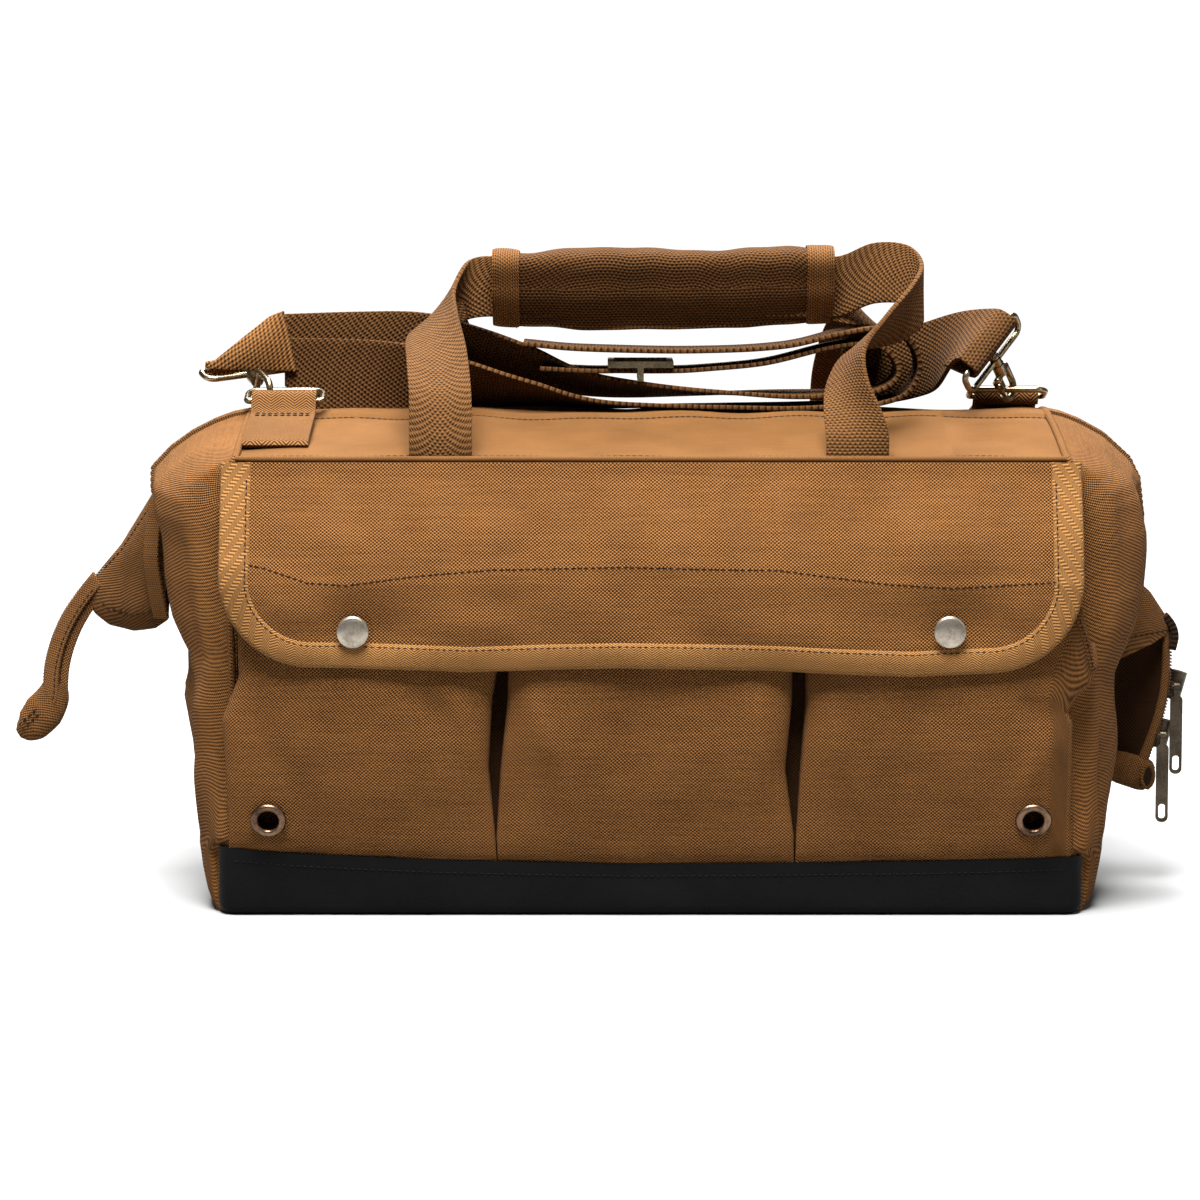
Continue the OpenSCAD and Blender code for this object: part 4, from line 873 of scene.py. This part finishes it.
# Mounds and dents of the grip: place along and round it, size along and round it, height
GRIP_DENTS = ((0.10, 0.3, 0.06, 0.12, -1.8), (0.62, 0.27, 0.10, 0.1, -1.6), (0.35, 0.34, 0.12, 0.1, 1.0),
              (0.85, 0.66, 0.1, 0.14, -1.3))


def grip_place(u, v, grow=0.0, start=GRIP_START, end=GRIP_END):
    """Round the grip with u, along it with v: a slack cushion with dents, narrower at its ends."""
    turn = u * 2 * math.pi
    c, s = np.cos(turn), np.sin(turn)
    x = start + v * (end - start)
    share = (x - GRIP_START) / (GRIP_END - GRIP_START)
    full = 1 - 0.10 * np.abs(2 * share - 1) ** 3
    dent = sum(bump_at(share, u, row[:2], row[2:4], row[4]) for row in GRIP_DENTS)
    dent = dent + 0.55 * ripple(x * 1.2, s * 14, 45, 61) * ramp(np.minimum(share, 1 - share) * 12)
    y = squared(c, 0.8) * (GRIP_DEEP / 2 * full * (0.64 + 0.70 * s) + dent + grow)
    z = squared(s, 0.75) * (GRIP_HIGH / 2 * full + dent + grow)
    sag = -1.2 * np.sin(share * math.pi) + 1.5 * (share - 0.5)
    return points(x, -LEG_LEAN - y, GRIP_Z + z + sag)


grip_pad = cut_cloth("grip_pad", 110, 72, lambda u, v: grip_place(v, u))
face_out(grip_pad, tube=True)
hang(grip_pad, grip_canvas_painted_shade, "grip_wrap", body="grip")
grip_seams = []
ring = np.linspace(0, 1, 200)
for k, (start, end) in enumerate(((GRIP_START - 1.5, GRIP_START + GRIP_TAPE),
                                  (GRIP_END - GRIP_TAPE, GRIP_END + 1.5))):
    grip_tape = cut_cloth(f"grip_tape_{k + 1}", 72, 8, lambda u, v: grip_place(
        u, v, 0.9 - 0.5 * np.abs(2 * v - 1) ** 4, start, end))
    thicken(grip_tape, 0.8)
    hang(grip_tape, grip_edge, "grip_bindings", slot="light_canvas", body="grip")
    for edge in (0.1, 0.9):
        line = grip_place(ring, edge, 0.95, start, end)
        grip_seams.append((line, (line - (0, -LEG_LEAN, GRIP_Z)) * (0, 1, 1)))
sew("grip_stitches", *grip_seams, body="grip", pitch=2.8)

# Shoulder strap: a long webbing tape, folded to and fro on top of the bag under the grip, each
# end folded back round the loop of its snap hook.
STRAP_X, STRAP_Y, STRAP_Z, STRAP_RISE = 216, 104, 247.7, 64
# Rows of both routes: place as shares of half width, half depth and rise, then the way across the tape
STRAP_LOWER = ((-0.875, 0.14, 0.25, 0, 0, 1), (-0.7, 0.13, 0.24, 0, -0.05, 1),
               (-0.56, 0.1, 0.21, 0, -0.3, 0.95),
               (-0.42, 0.04, 0.15, 0, -0.7, 0.7), (-0.28, 0.02, 0.09, 0, -0.9, 0.4),
               (-0.1, 0.02, 0.02, 0, -1, 0.12), *((x, 0.02, z, 0, -1, 0) for x, z in (
                   (0.28, 0), (0.47, 0.02), (0.56, 0.05), (0.62, 0.14), (0.645, 0.34), (0.62, 0.54),
                   (0.55, 0.64), (0.45, 0.6), (0.32, 0.5), (0.1, 0.46), (-0.16, 0.48), (-0.3, 0.52))))
STRAP_UPPER = ((-0.88, 0.21, 0.44, 0, 0, -1), (-0.7, 0.2, 0.46, 0, 0, -1), (-0.56, 0.19, 0.46, 0, 0.1, -1),
               (-0.43, 0.14, 0.41, 0, 0.55, -0.84), (-0.28, 0.08, 0.31, 0, 0.8, -0.6),
               (-0.1, 0.05, 0.16, 0, 0.95, -0.3),
               *((x, 0.04, z, 0, 1, 0) for x, z in (
                   (0.28, 0.1), (0.46, 0.11), (0.54, 0.14), (0.585, 0.22), (0.595, 0.33), (0.57, 0.46),
                   (0.52, 0.52), (0.42, 0.48), (0.27, 0.36), (0.12, 0.31), (0.02, 0.3), (-0.06, 0.3),
                   (-0.14, 0.3), (-0.26, 0.32))))
STRAP_RIGHT = ((0.47, 0.36, 0.27, 0, 0, 1), (0.58, 0.34, 0.29, 0, 0, 1), (0.68, 0.24, 0.38, 0, 0, 1))
strap_web = weave("strap_webbing", (0.084, 0.037, 0.0115), (0.011, 0.0043, 0.0013), 0.00125, 0.0017, 0.0009,
                  ribs=0.3, cloud=0.3)


def strap_stations(rows):
    return [(x * STRAP_X, y * STRAP_Y, STRAP_Z + z * STRAP_RISE, a, b, c) for x, y, z, a, b, c in rows]


for name, rows, seed in (("strap_lower", STRAP_LOWER, 71), ("strap_upper", STRAP_UPPER, 72)):
    strap = band(name + "_web", strap_stations(rows), STRAP_WIDE, across=12, flutter=0.25, seed=seed)
    hang(strap, strap_web, name, slot="webbing")

# Strap ends: at the left the webbing is folded over on the slant, comes forward and is sewn round
# the loop of its snap hook; at the right the strap itself runs on round its loop and back beneath.
LEFT_SLEEVE, LEFT_BAR = (-212.3, 23.26, 267.83), (0.8949, 0.4353, 0.0982)
RIGHT_SLEEVE, RIGHT_BAR = (174.31, -14.97, 280.48), (0.5704, 0.4653, 0.6769)
LOOP_R = 4.3
FOLD_CORNERS = ((-231, 9.5, 267), (-183, 12, 265.5), (-197, 13, 293), (-189.5, 9.5, 297))
# The folded strap end is a lighter copy of the strap webbing: painted light on its lit, upturned face.
lit_strap_web = weave("folded_webbing_painted_light", (0.190, 0.086, 0.027), (0.014, 0.0055, 0.0015), 0.00125, 0.002, 0.0007,
                  ribs=0.15)


def wrap_stations(centre, bar, heading, lead):
    """A tape that comes along heading, goes half round a bar and back, with a lead before and after."""
    centre, bar = np.array(centre), np.array(bar)
    ahead = np.array(heading) - bar * np.dot(heading, bar)
    ahead /= np.linalg.norm(ahead)
    aside = np.cross(bar, ahead) * LOOP_R
    rows = [centre - ahead * lead + aside * 0.6, centre - ahead * lead / 2 + aside * 0.9]
    rows += [centre + math.cos(k) * aside + math.sin(k) * ahead * LOOP_R for k in np.linspace(0, math.pi, 6)]
    rows += [centre - ahead * lead / 2 - aside * 0.9, centre - ahead * lead - aside * 0.7]
    return [(*row, *bar) for row in rows]


def fold_place(u, v):
    """The slanting fold, between its four corners and hollow in front."""
    near, far = ((1 - u)[:, None] * a + u[:, None] * b for a, b in (FOLD_CORNERS[:2], FOLD_CORNERS[2:]))
    hollow = 2.5 * np.sin(u * math.pi) * np.sin(v * math.pi)
    return near * (1 - v)[:, None] + far * v[:, None] - points(0, hollow, 0)


fold = cut_cloth("strap_fold", 16, 14, fold_place)
thicken(fold, WEB_THICK, 0, 0.5)
hang(fold, lit_strap_web, "strap_ends", slot="webbing")
left_wrap = band("left_strap_end", wrap_stations(LEFT_SLEEVE, LEFT_BAR, (0, 0, -1), 4), STRAP_WIDE, 2.0)
hang(left_wrap, lit_strap_web, "strap_ends", slot="webbing")
right_wrap = wrap_stations(RIGHT_SLEEVE, RIGHT_BAR, (0.75, -0.5, -0.2), 16)
right_rows = strap_stations(STRAP_RIGHT) + right_wrap[-2::-1]
right_strap = band("strap_right_web", right_rows, STRAP_WIDE, across=12)
hang(right_strap, strap_web, "strap_right", "strap_ends", slot="webbing")

# Ring tabs: webbing folded double, sewn flat to the top and turned up round the foot of a ring.
TAB_X, TAB_WIDE, TAB_FOOT, TAB_BACK = 187, 33, 82.5, 30
SLEEVE_Y, SLEEVE_Z, SLEEVE_R = 20.8, 252, 4.4
# Its rows from the hidden layer below to the sewn one above, as places back from the zip and lifts
TAB_ROWS = ((40, 0.2), (60, 0.2), (80, 0.2), (80, 2.6), (66, 2.6), (50, 2.6), (38, 2.6), (TAB_BACK, 3.6))
tab_web = weave("tab_webbing", (0.155, 0.070, 0.022), (0.022, 0.009, 0.0028), 0.0010, 0.0008, 0.0004,
                twill=0.006, cloud=0.4)


def tab_stations(side):
    flat = [(y, crown(y) + lift) for y, lift in TAB_ROWS]
    flat.insert(3, (TAB_FOOT + 1.6, crown(TAB_FOOT) + 1.3))
    loop = [(SLEEVE_Y + SLEEVE_R * math.cos(math.radians(k)), SLEEVE_Z + SLEEVE_R * math.sin(math.radians(k)))
            for k in (40, 90, 140, 190, 235)]
    return [(side * TAB_X, side * y, z, -side, 0, 0) for y, z in flat + loop]


tab_seams = []
for name, side in (("left_ring_tab", -1), ("right_ring_tab", 1)):
    hang(band(name, tab_stations(side), TAB_WIDE, 2.1, 1.6), tab_web, "ring_tabs", slot="webbing")
    tab_x = np.linspace(TAB_X - TAB_WIDE / 2 + 2, TAB_X + TAB_WIDE / 2 - 2, 40) * side
    for y, lift in ((TAB_BACK + 5, 4.3), (TAB_BACK + 8, 4.0)):
        tab_seams.append(facing(points(tab_x, side * y, crown(y) + lift), 0, 0, 1))
sew("tab_stitches", *tab_seams, slot="webbing")

# Hems: each pocket's top edge is turned down over itself and sewn, so it is twice as thick there
# and stands a little proud of the pocket.
HEM_FOOT, HEM_TOP, HEM_ROW, HEM_GROW = 152, 166.6, 154.6, 1.1
hem_seams = []
for name in POCKET_EDGES:
    hem = cut_cloth(name + "_hem", 96, 10, lambda u, v: pocket_place(
        name, u, HEM_FOOT + v * (HEM_TOP - HEM_FOOT), HEM_GROW - 0.6 * (2 * v - 1) ** 6))
    thicken(hem, 1.0)
    hang(hem, duck_canvas, "pocket_hems")
    hem_line = pocket_place(name, np.linspace(0.015, 0.985, 300), HEM_ROW, HEM_GROW + 0.15)
    hem_seams.append(facing(hem_line))
sew("hem_stitches", *hem_seams)

# Rear pocket: one wide slip pocket on the back, the same canvas, hardly bellied. Its shape is
# taken from other bags of this kind, since the photograph shows only the front.
REAR_HALF, REAR_SWELL = 206, 9


def rear_place(u, z, grow=0.0):
    across = 1 - 2 * u
    foot = ramp((z - lookup(across * REAR_HALF, BASE_TOP)) / 60)
    out = POCKET_OUT + REAR_SWELL * np.sin(foot * math.pi / 2) * (1 - np.abs(across) ** 5)
    slack = 0.9 * ripple(across * -200, z, 80, 91) * foot * (1 - across ** 4)
    return points(across * (REAR_HALF + grow / 2), WALL_Y + out + slack + grow, z)


for name, tall, start, end, grow, thick, node in (
        ("rear_pocket_cloth", 60, POCKET_FOOT, POCKET_TOP, 0, CANVAS_THICK, "rear_pocket"),
        ("rear_pocket_hem", 10, HEM_FOOT, HEM_TOP, HEM_GROW, 1.0, "pocket_hems")):
    rear_cloth = cut_cloth(name, 120, tall, lambda u, v: rear_place(u, start + v * (end - start), grow))
    thicken(rear_cloth, thick)
    hang(rear_cloth, duck_canvas, node)
sew("rear_hem_stitches", facing(rear_place(np.linspace(0.01, 0.99, 400), HEM_ROW, HEM_GROW + 0.2), 0, 1, 0))

# Zip: a tape under each edge of the mouth with a coil of teeth, and the same tapes running on over
# both ends of the top and down the end panels, where they come out as tails.
TOOTH_PITCH, TOOTH_LONG, TOOTH_WIDE = 1.7, 1.2, 4.0
TAPE_OUT, TAPE_IN, TAPE_DEEP = 9, 0.6, 1.9
zip_tape = weave("zip_tape", (0.135, 0.060, 0.019), (0.02, 0.0085, 0.0026), 0.0006, 0.0012, 0.0003, ribs=0.4)
zip_coil, coil_tree, coil_shader = tree_of("zip_coil")
colour_by(coil_tree, coil_shader, noise_node(coil_tree, object_place(coil_tree), 0.006, 3),
          (0.35, (0.03, 0.015, 0.007)), (0.7, (0.11, 0.058, 0.026)))
dial(coil_shader, Roughness=0.45)


def teeth(name, body, line, thick=1.7):
    """Coil teeth along a line, a place list and its outward way."""
    return sew(name, line, body=body, thread=zip_coil, slot="zip", pitch=TOOTH_PITCH, long=TOOTH_LONG,
               thick=thick, wide=TOOTH_WIDE)


for half, side in (("front", -1), ("rear", 1)):
    near, far = (-TAPE_OUT, -TAPE_IN) if side < 0 else (TAPE_IN, TAPE_OUT)
    for part, start, end, _ in TOP_PARTS:
        body, node = (f"mouth_{half}", f"zip_{half}") if part == "mouth" else ("bag", "zip_ends")
        tape = cut_cloth(f"zip_tape_{half}_{part}", int((end - start) / 4), 4, lambda u, v: (
            top_place(start + u * (end - start), near + v * (far - near)) - (0, 0, TAPE_DEEP)))
        thicken(tape, 0.8)
        hang(tape, zip_tape, node, slot="zip", body=body)
        coil_x = np.linspace(start, end, 200) + side * TOOTH_PITCH / 4
        teeth(f"zip_teeth_{half}_{part}", body, facing(top_place(coil_x, side * 1.5) - (0, 0, 1.3), 0, 0, 1))
        seam = top_place(np.linspace(start + 1, end - 1, 200), side * (STRIP_HALF + 0.9))
        sew(f"strip_stitches_{half}_{part}", facing(seam, 0, 0, 1), body=body, pitch=3.0, long=3.1, thick=1.5)

strip_seams = []
for name, side, low in (("left_end_strip", -1, 0.565), ("right_end_strip", 1, 0.62)):
    def strip_line(turn, v, out, over):
        """Places down the strip with v, out from the end panel and over its upper edge."""
        return end_place(side, turn, 1 - v * (1 - low)) + points(side * out, 0, over * (1 - v))

    strip = cut_cloth(name, 12, 56, lambda u, v: strip_line(side * (u - 0.5) * 13.6, v, 0.6, 0.6))
    thicken(strip, 1.8, 0)
    hang(strip, top_canvas, slot="light_canvas")
    down = np.linspace(0.02, 1, 120)
    teeth(name + "_teeth", "bag", facing(strip_line(0, down, 1.0, 0.7), side, 0, 0.6))
    strip_seams += [facing(strip_line(edge, down, 1.6, 1.0), side, 0, 0.5) for edge in (-5.6, 5.6)]
sew("end_strip_stitches", *strip_seams)

# Seam rolls: where two canvas panels meet, their turned edges stand up as a soft round roll, sewn
# through along its foot.
def roll(name, line, radius, aside=(0.3, 0.2, 1), sides=10):
    """A round cord of cloth along a line of places, radius thick at each, closed at both ends."""
    line = np.asarray(line, float)
    run = walk(line)
    radius = np.broadcast_to(np.asarray(radius, float), (len(line),))

    def lay(u, v):
        at = v * run[-1]
        spot, ahead, behind = (on_line(at + k, run, line) for k in (0, 2, -2))
        way = unit(ahead - behind)
        level = unit(np.cross(way, aside))
        turn, wide = u[:, None] * 2 * math.pi, np.interp(at, run, radius)[:, None]
        return spot + (level * np.cos(turn) + np.cross(level, way) * np.sin(turn)) * wide

    tube = cut_cloth(name, sides, max(6, int(run[-1] / 2.2)), lay)
    face_out(tube, tube=True)
    return tube


rise = np.linspace(0, 1, 200)
for name, side in (("left_end_roll", -1), ("right_end_roll", 1)):
    over = end_place(side, np.linspace(-89, 89, 200), 1)[1:-1]
    line = np.vstack([end_place(side, -89, rise), over, end_place(side, 89, 1 - rise)])
    hang(roll(name, line, 1.9, (side, 0.13, 0.21)), duck_canvas)
roll_x = np.linspace(-WALL_X + 1, WALL_X - 1, 200)
for name, side in (("front_roll", -1), ("rear_roll", 1)):
    line = points(roll_x, side * (WALL_Y + 0.6), WALL_TOP + 0.4)
    hang(roll(name, line, 1.5), top_canvas, slot="light_canvas")
    border = top_place(roll_x, side * (WALL_Y - 5)) + (0, 0, 0.1)
    sew(name + "_stitches", facing(border, 0, side * 0.3, 1))

# Left zip tail: a canvas gusset stands out of the end panel, and out of it comes the folded zip
# with its teeth along the outer edge, closed off by a small canvas tab.
GUSSET_ROOT, GUSSET_TIP = -250, -292
GUSSET_TOP = ((-292, 155), (-273.4, 177), (-256, 205), (-250, 211))
GUSSET_FOOT = ((-292, 147), (-288, 140.3), (-280.7, 134.4), (-267.6, 131.2), (-256.2, 132.8), (-250, 137))
TAIL_MIDDLE = ((-285, 157), (-293, 147), (-300, 136), (-305, 124.5), (-308.2, 112), (-309.4, 98), (-311, 93))
TAIL_WAY = ((-0.55, 0.83), (-0.6, 0.8), (-0.8, 0.6), (-0.95, 0.32), (-0.985, 0.17), (-0.99, 0.1), (-0.9, 0.3))
TAIL_Y, TAIL_HALF = -3, 6.4
GUSSET_DEEP, GUSSET_TAPER = 10, 7.2
# The folded strip at the gusset's root: places down it, each with the way across it
FOLD_STRIP = ((-249, -14, 211, 1, -0.4, 0.2), (-254, -17, 196, 1, -0.4, 0), (-256.5, -19, 172, 1, -0.4, 0),
              (-254.5, -17, 153, 1, -0.4, 0), (-252.2, -14, 139, 1, -0.4, 0))
TAB_AXIS = ((-308.6, 104), (-311.2, 95.5), (-316.5, 87.5), (-322.5, 81), (-328.5, 77.2))
TAB_HALF = ((0, 6.2), (0.18, 8.6), (0.45, 10.6), (0.72, 9.2), (0.92, 5.6), (1, 2.8))
tail_canvas = weave("tail_canvas", (0.165, 0.073, 0.022), (0.012, 0.0045, 0.0013), 0.0008, 0.0008, 0.0008)


def gusset_place(u, v):
    """Two layers, front and back, that meet at the tip, the top edge and the foot."""
    share = 1 - np.abs(2 * u - 1)
    x = GUSSET_ROOT + share * (GUSSET_TIP - GUSSET_ROOT)
    foot, top = lookup(x, GUSSET_FOOT), lookup(x, GUSSET_TOP)
    z = foot + v * (top - foot)
    half = ((GUSSET_DEEP - GUSSET_TAPER * share) * (1 - share ** 8)
            * (0.16 + 0.84 * (1 - np.abs(2 * v - 1) ** 5)))
    dent = 0.8 * ripple(x, z, 28, 97) * ramp(share * 6)
    return points(x, TAIL_Y - np.sign(0.5 - u) * (half + 0.4 + dent), z)


left_gusset = cut_cloth("left_gusset_cloth", 56, 40, gusset_place)
face_out(left_gusset, tube=True)
hang(left_gusset, tail_canvas, "left_gusset")
hem_s = np.linspace(0.02, 0.40, 60)
hem_x = GUSSET_ROOT + hem_s * 2 * (GUSSET_TIP - GUSSET_ROOT)
hem_rise = 9.5 / (lookup(hem_x, GUSSET_TOP) - lookup(hem_x, GUSSET_FOOT))
gusset_hem = gusset_place(hem_s, np.clip(hem_rise, 0, 0.6)) - (0, 0.35, 0)
gusset_rim = gusset_place(hem_s, 0.93) - (0, 0.3, 0)
fold_strip = band("left_fold", FOLD_STRIP, 8.5, 2.6, 2)
hang(fold_strip, zip_tape, "left_gusset")
tail_steps = [(x, z, a, b) for (x, z), (a, b) in zip(TAIL_MIDDLE, TAIL_WAY)]
tail_rows = [(x, TAIL_Y, z, a, 0, b) for x, z, a, b in tail_steps]
hang(band("left_tail_zip", tail_rows, 2 * TAIL_HALF, 3.6, 2, across=10), tail_canvas, "left_tail")
tape_rows = [(x + 2 * a, -5.6, z + 2 * b, a, 0.12, b) for x, z, a, b in tail_steps]
hang(band("left_tail_tape", tape_rows, 7.6, 2.2, 2), zip_tape, "left_tail", slot="zip")
tail_edge = [(x + a * TAIL_HALF, z + b * TAIL_HALF) for x, z, a, b in tail_steps[1:-1]]
outer_x, outer_z = trace(np.linspace(0, 1, 240),
                         [(-255.5, 205), (-272.4, 177.8), (-286.5, 161.5)] + tail_edge).T
left_coil = points(outer_x + 0.5, TAIL_Y - 0.6, outer_z - 0.5)
teeth("left_tail_teeth", "bag", facing(left_coil, -0.75, 0, 0.65), 2.6)
tail_line = trace(np.linspace(0.06, 0.96, 160), tail_rows)
inner_row, outer_row = (tail_line[:, :3] + tail_line[:, 3:] * aside + (0, out, 0)
                        for aside, out in ((-2.4, -2.1), (0.2, -4.0)))
sew("left_tail_stitches", *(facing(line) for line in (gusset_hem, gusset_rim, inner_row, outer_row)))


def leaf(name, axis, half, thick):
    """A flat rounded pouch along an axis in the upright plane of the tail."""
    way = unit(np.gradient(axis, axis=0))
    marks = np.linspace(0, 1, len(axis))

    def lay(u, v):
        x, z, a, b = (np.interp(v, marks, row) for row in (*axis.T, *way.T))
        wide = lookup(v, half)
        out = squared(np.cos(u * 2 * math.pi), 0.8) * wide
        deep = np.sin(u * 2 * math.pi) * thick * (0.5 + 0.5 * wide / max(row[1] for row in half))
        return points(x - b * out, TAIL_Y - deep, z + a * out)

    pouch = cut_cloth(name, 32, 26, lay)
    face_out(pouch, tube=True)
    return pouch


left_tab = leaf("left_tail_tab_cloth", trace(np.linspace(0, 1, 40), TAB_AXIS), TAB_HALF, 4.2)
hang(left_tab, tail_canvas, "left_tail_tab")
bar_line = points(np.linspace(-317, -326.5, 30), -7.4, np.linspace(88.5, 80, 30))
sew("left_tab_stitches", *(facing(bar_line + shift) for shift in ((0, 0, 0), (-1.7, 0.1, 2.1))), thick=1.2)

# Right zip tail: a short gusset with a hem, and under it a canvas tail folded round the end of the
# zip. Its hollow side faces the front, so it lies in shade; the coil runs along its outer edge.
RIGHT_TOP = ((240, 168), (250, 161), (260.5, 152.2), (269.2, 139.2), (272, 132.5))
RIGHT_HEM = ((240, 116), (250, 120.4), (262, 125.5), (272, 131.5))
PANEL_OUTER = ((270.8, 131), (271.2, 115), (270.2, 98.2), (266.5, 82), (261.4, 67.3), (257.8, 56))
RIGHT_ROOT, RIGHT_TIP, RIGHT_DEEP, RIGHT_TAPER = 240, 272, 13, 9.5
PANEL_INNER = ((243, 131), (242, 115), (241, 98), (240, 82), (240, 70), (243, 60))
FOOT_AXIS = ((240.5, 61.5), (248, 59), (255, 56.8), (262.6, 54.4))
FOOT_HALF = ((0, 7.6), (0.3, 8.6), (0.8, 8.8), (0.94, 8), (1, 6.2))
STUB_LINE = ((268.5, 139.5), (272.2, 134.5), (273.8, 128.5), (272.4, 121.5))
# The mouth in the foot of the tail, a near-black band of painted shade: places along it, and the middle and
# half axes of its rim
MOUTH_LINE = ((258.2, -8.6, 50), (260.2, -8.9, 55.4), (262.2, -8.6, 61))
RIM_MIDDLE, RIM_LONG, RIM_WIDE = (260.2, -8.2, 55.4), (0.84, 0, 6.016), (2.82, 0, -1.05)


def right_gusset_place(u, v):
    """Two layers, front and back, that meet at the tip and open downwards."""
    share = 1 - np.abs(2 * u - 1)
    x = RIGHT_ROOT + share * (RIGHT_TIP - RIGHT_ROOT)
    foot, top = lookup(x, RIGHT_HEM), lookup(x, RIGHT_TOP)
    z = foot + v * (top - foot)
    half = (RIGHT_DEEP - RIGHT_TAPER * share) * (1 - share ** 8) * (0.3 + 0.7 * (1 - v ** 5))
    return points(x, TAIL_Y - np.sign(0.5 - u) * (half + 0.6), z)


right_gusset = cut_cloth("right_gusset_cloth", 48, 28, right_gusset_place)
face_out(right_gusset, tube=True)
hang(right_gusset, tail_canvas, "right_gusset")
right_hem = right_gusset_place(np.linspace(0.03, 0.47, 60), 0.22) - (0, 0.35, 0)


def tail_panel(u, v):
    """The hollow of the tail: its cloth lies back, and comes forward to its outer edge."""
    outer_x, outer_z = trace(1 - v, PANEL_OUTER).T
    inner_x, inner_z = trace(1 - v, PANEL_INNER).T
    x, z = inner_x + u * (outer_x - inner_x), inner_z + u * (outer_z - inner_z)
    return points(x, 6 - 9 * u ** 3 - 3 * (1 - v) ** 4, z)


# The hollow's cloth is the near-black canvas: painted shade inside the fold.
panel = cut_cloth("right_tail_panel", 24, 40, tail_panel)
thicken(panel, 1.6, 0)
hang(panel, shade_canvas, "right_tail")
edge_x, edge_z = trace(np.linspace(0, 1, 80), PANEL_OUTER).T
edge_line = points(edge_x - 1.6, -3.4, edge_z)
edge_roll = roll("right_tail_edge", edge_line, np.linspace(2.0, 2.8, 80), (0, 1, 0.1))
hang(edge_roll, tail_canvas, "right_tail")
right_foot = leaf("right_tail_foot", trace(np.linspace(0, 1, 30), FOOT_AXIS), FOOT_HALF, 5.5)
hang(right_foot, tail_canvas, "right_tail")
teeth("right_tail_teeth", "bag", facing(points(edge_x + 1.0, TAIL_Y, edge_z), 1, 0, 0.1))
# Near-black tape: the dark stub of the zip, and painted shade in the mouth of the tail's foot.
dark_tape_and_shade = weave("dark_zip_tape_and_painted_shade", (0.020, 0.010, 0.005), (0.004, 0.002, 0.001), 0.0006, 0.0012, 0.0002)
zip_stub = band("right_zip_stub", [(x, TAIL_Y, z, 0, 1, 0) for x, z in STUB_LINE], 7, 4.0, 2)
hang(zip_stub, dark_tape_and_shade, "tail_zip", slot="zip")
rim_turn = np.linspace(0, 2 * math.pi, 40)[:, None]
rim_line = RIM_MIDDLE + np.cos(rim_turn) * RIM_LONG + np.sin(rim_turn) * RIM_WIDE
foot_rim = roll("right_foot_rim", rim_line, 1.3, (0, 1, 0.1), 8)
hang(foot_rim, tail_canvas, "right_tail")
# The mouth is a band of the near-black tape: painted shade in the opening.
foot_mouth = band("right_foot_mouth", [(*place, 0.94, 0, -0.35) for place in MOUTH_LINE], 4.4, 0.8, 2)
hang(foot_mouth, dark_tape_and_shade, "right_tail")
for piece in (right_foot, foot_rim, foot_mouth):
    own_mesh(piece)
sew("right_tail_stitches", facing(right_hem))

# Metal fittings: the rings, snap hooks and the strap's slide are wire and plate with a worn antique
# brass finish, the eyelets bronzed, the zip sliders darker and the snap caps bright pewter.
def metal(name, bright, dark, rough, wear=0.012):
    """Plated metal, darker where its finish has aged, with fine scratches."""
    material, tree, shader = tree_of(name)
    place = object_place(tree)
    age = noise_node(tree, place, wear, 4, 0.6)
    scratch = noise_node(tree, place, 0.0009, 2)
    mix = math_node(tree, "MULTIPLY_ADD", scratch, 0.3, math_node(tree, "MULTIPLY", age, 0.7))
    colour_by(tree, shader, mix, (0.36, dark), (0.58, bright))
    tree.links.new(math_node(tree, "MULTIPLY_ADD", age, -0.25, rough + 0.12), shader.inputs["Roughness"])
    dial(shader, Metallic=1)
    bump_node(tree, shader, scratch, 0.00003, 0.5)
    return material


brass = metal("antique_brass", (0.30, 0.235, 0.145), (0.085, 0.06, 0.034), 0.30)
bronze = metal("bronze", (0.20, 0.12, 0.075), (0.05, 0.028, 0.017), 0.34)
dark_bronze = metal("dark_bronze", (0.085, 0.066, 0.046), (0.03, 0.022, 0.015), 0.42)
pewter = metal("pewter", (0.42, 0.37, 0.30), (0.22, 0.185, 0.145), 0.36, 0.006)
FINISHES = (
    (brass, ("left_ring", "right_ring", "left_loop", "right_loop", "left_hook", "right_hook", "left_gate",
             "right_gate", "adjuster")),
    (bronze, ("eyelets",)),
    (dark_bronze, ("upper_slider", "lower_slider", "upper_pull", "lower_pull")),
    (pewter, ("snap_caps", "snap_sockets", "snap_studs")))
for finish, nodes in FINISHES:
    for node in nodes:
        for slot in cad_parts[node].material_slots:
            slot.material = finish
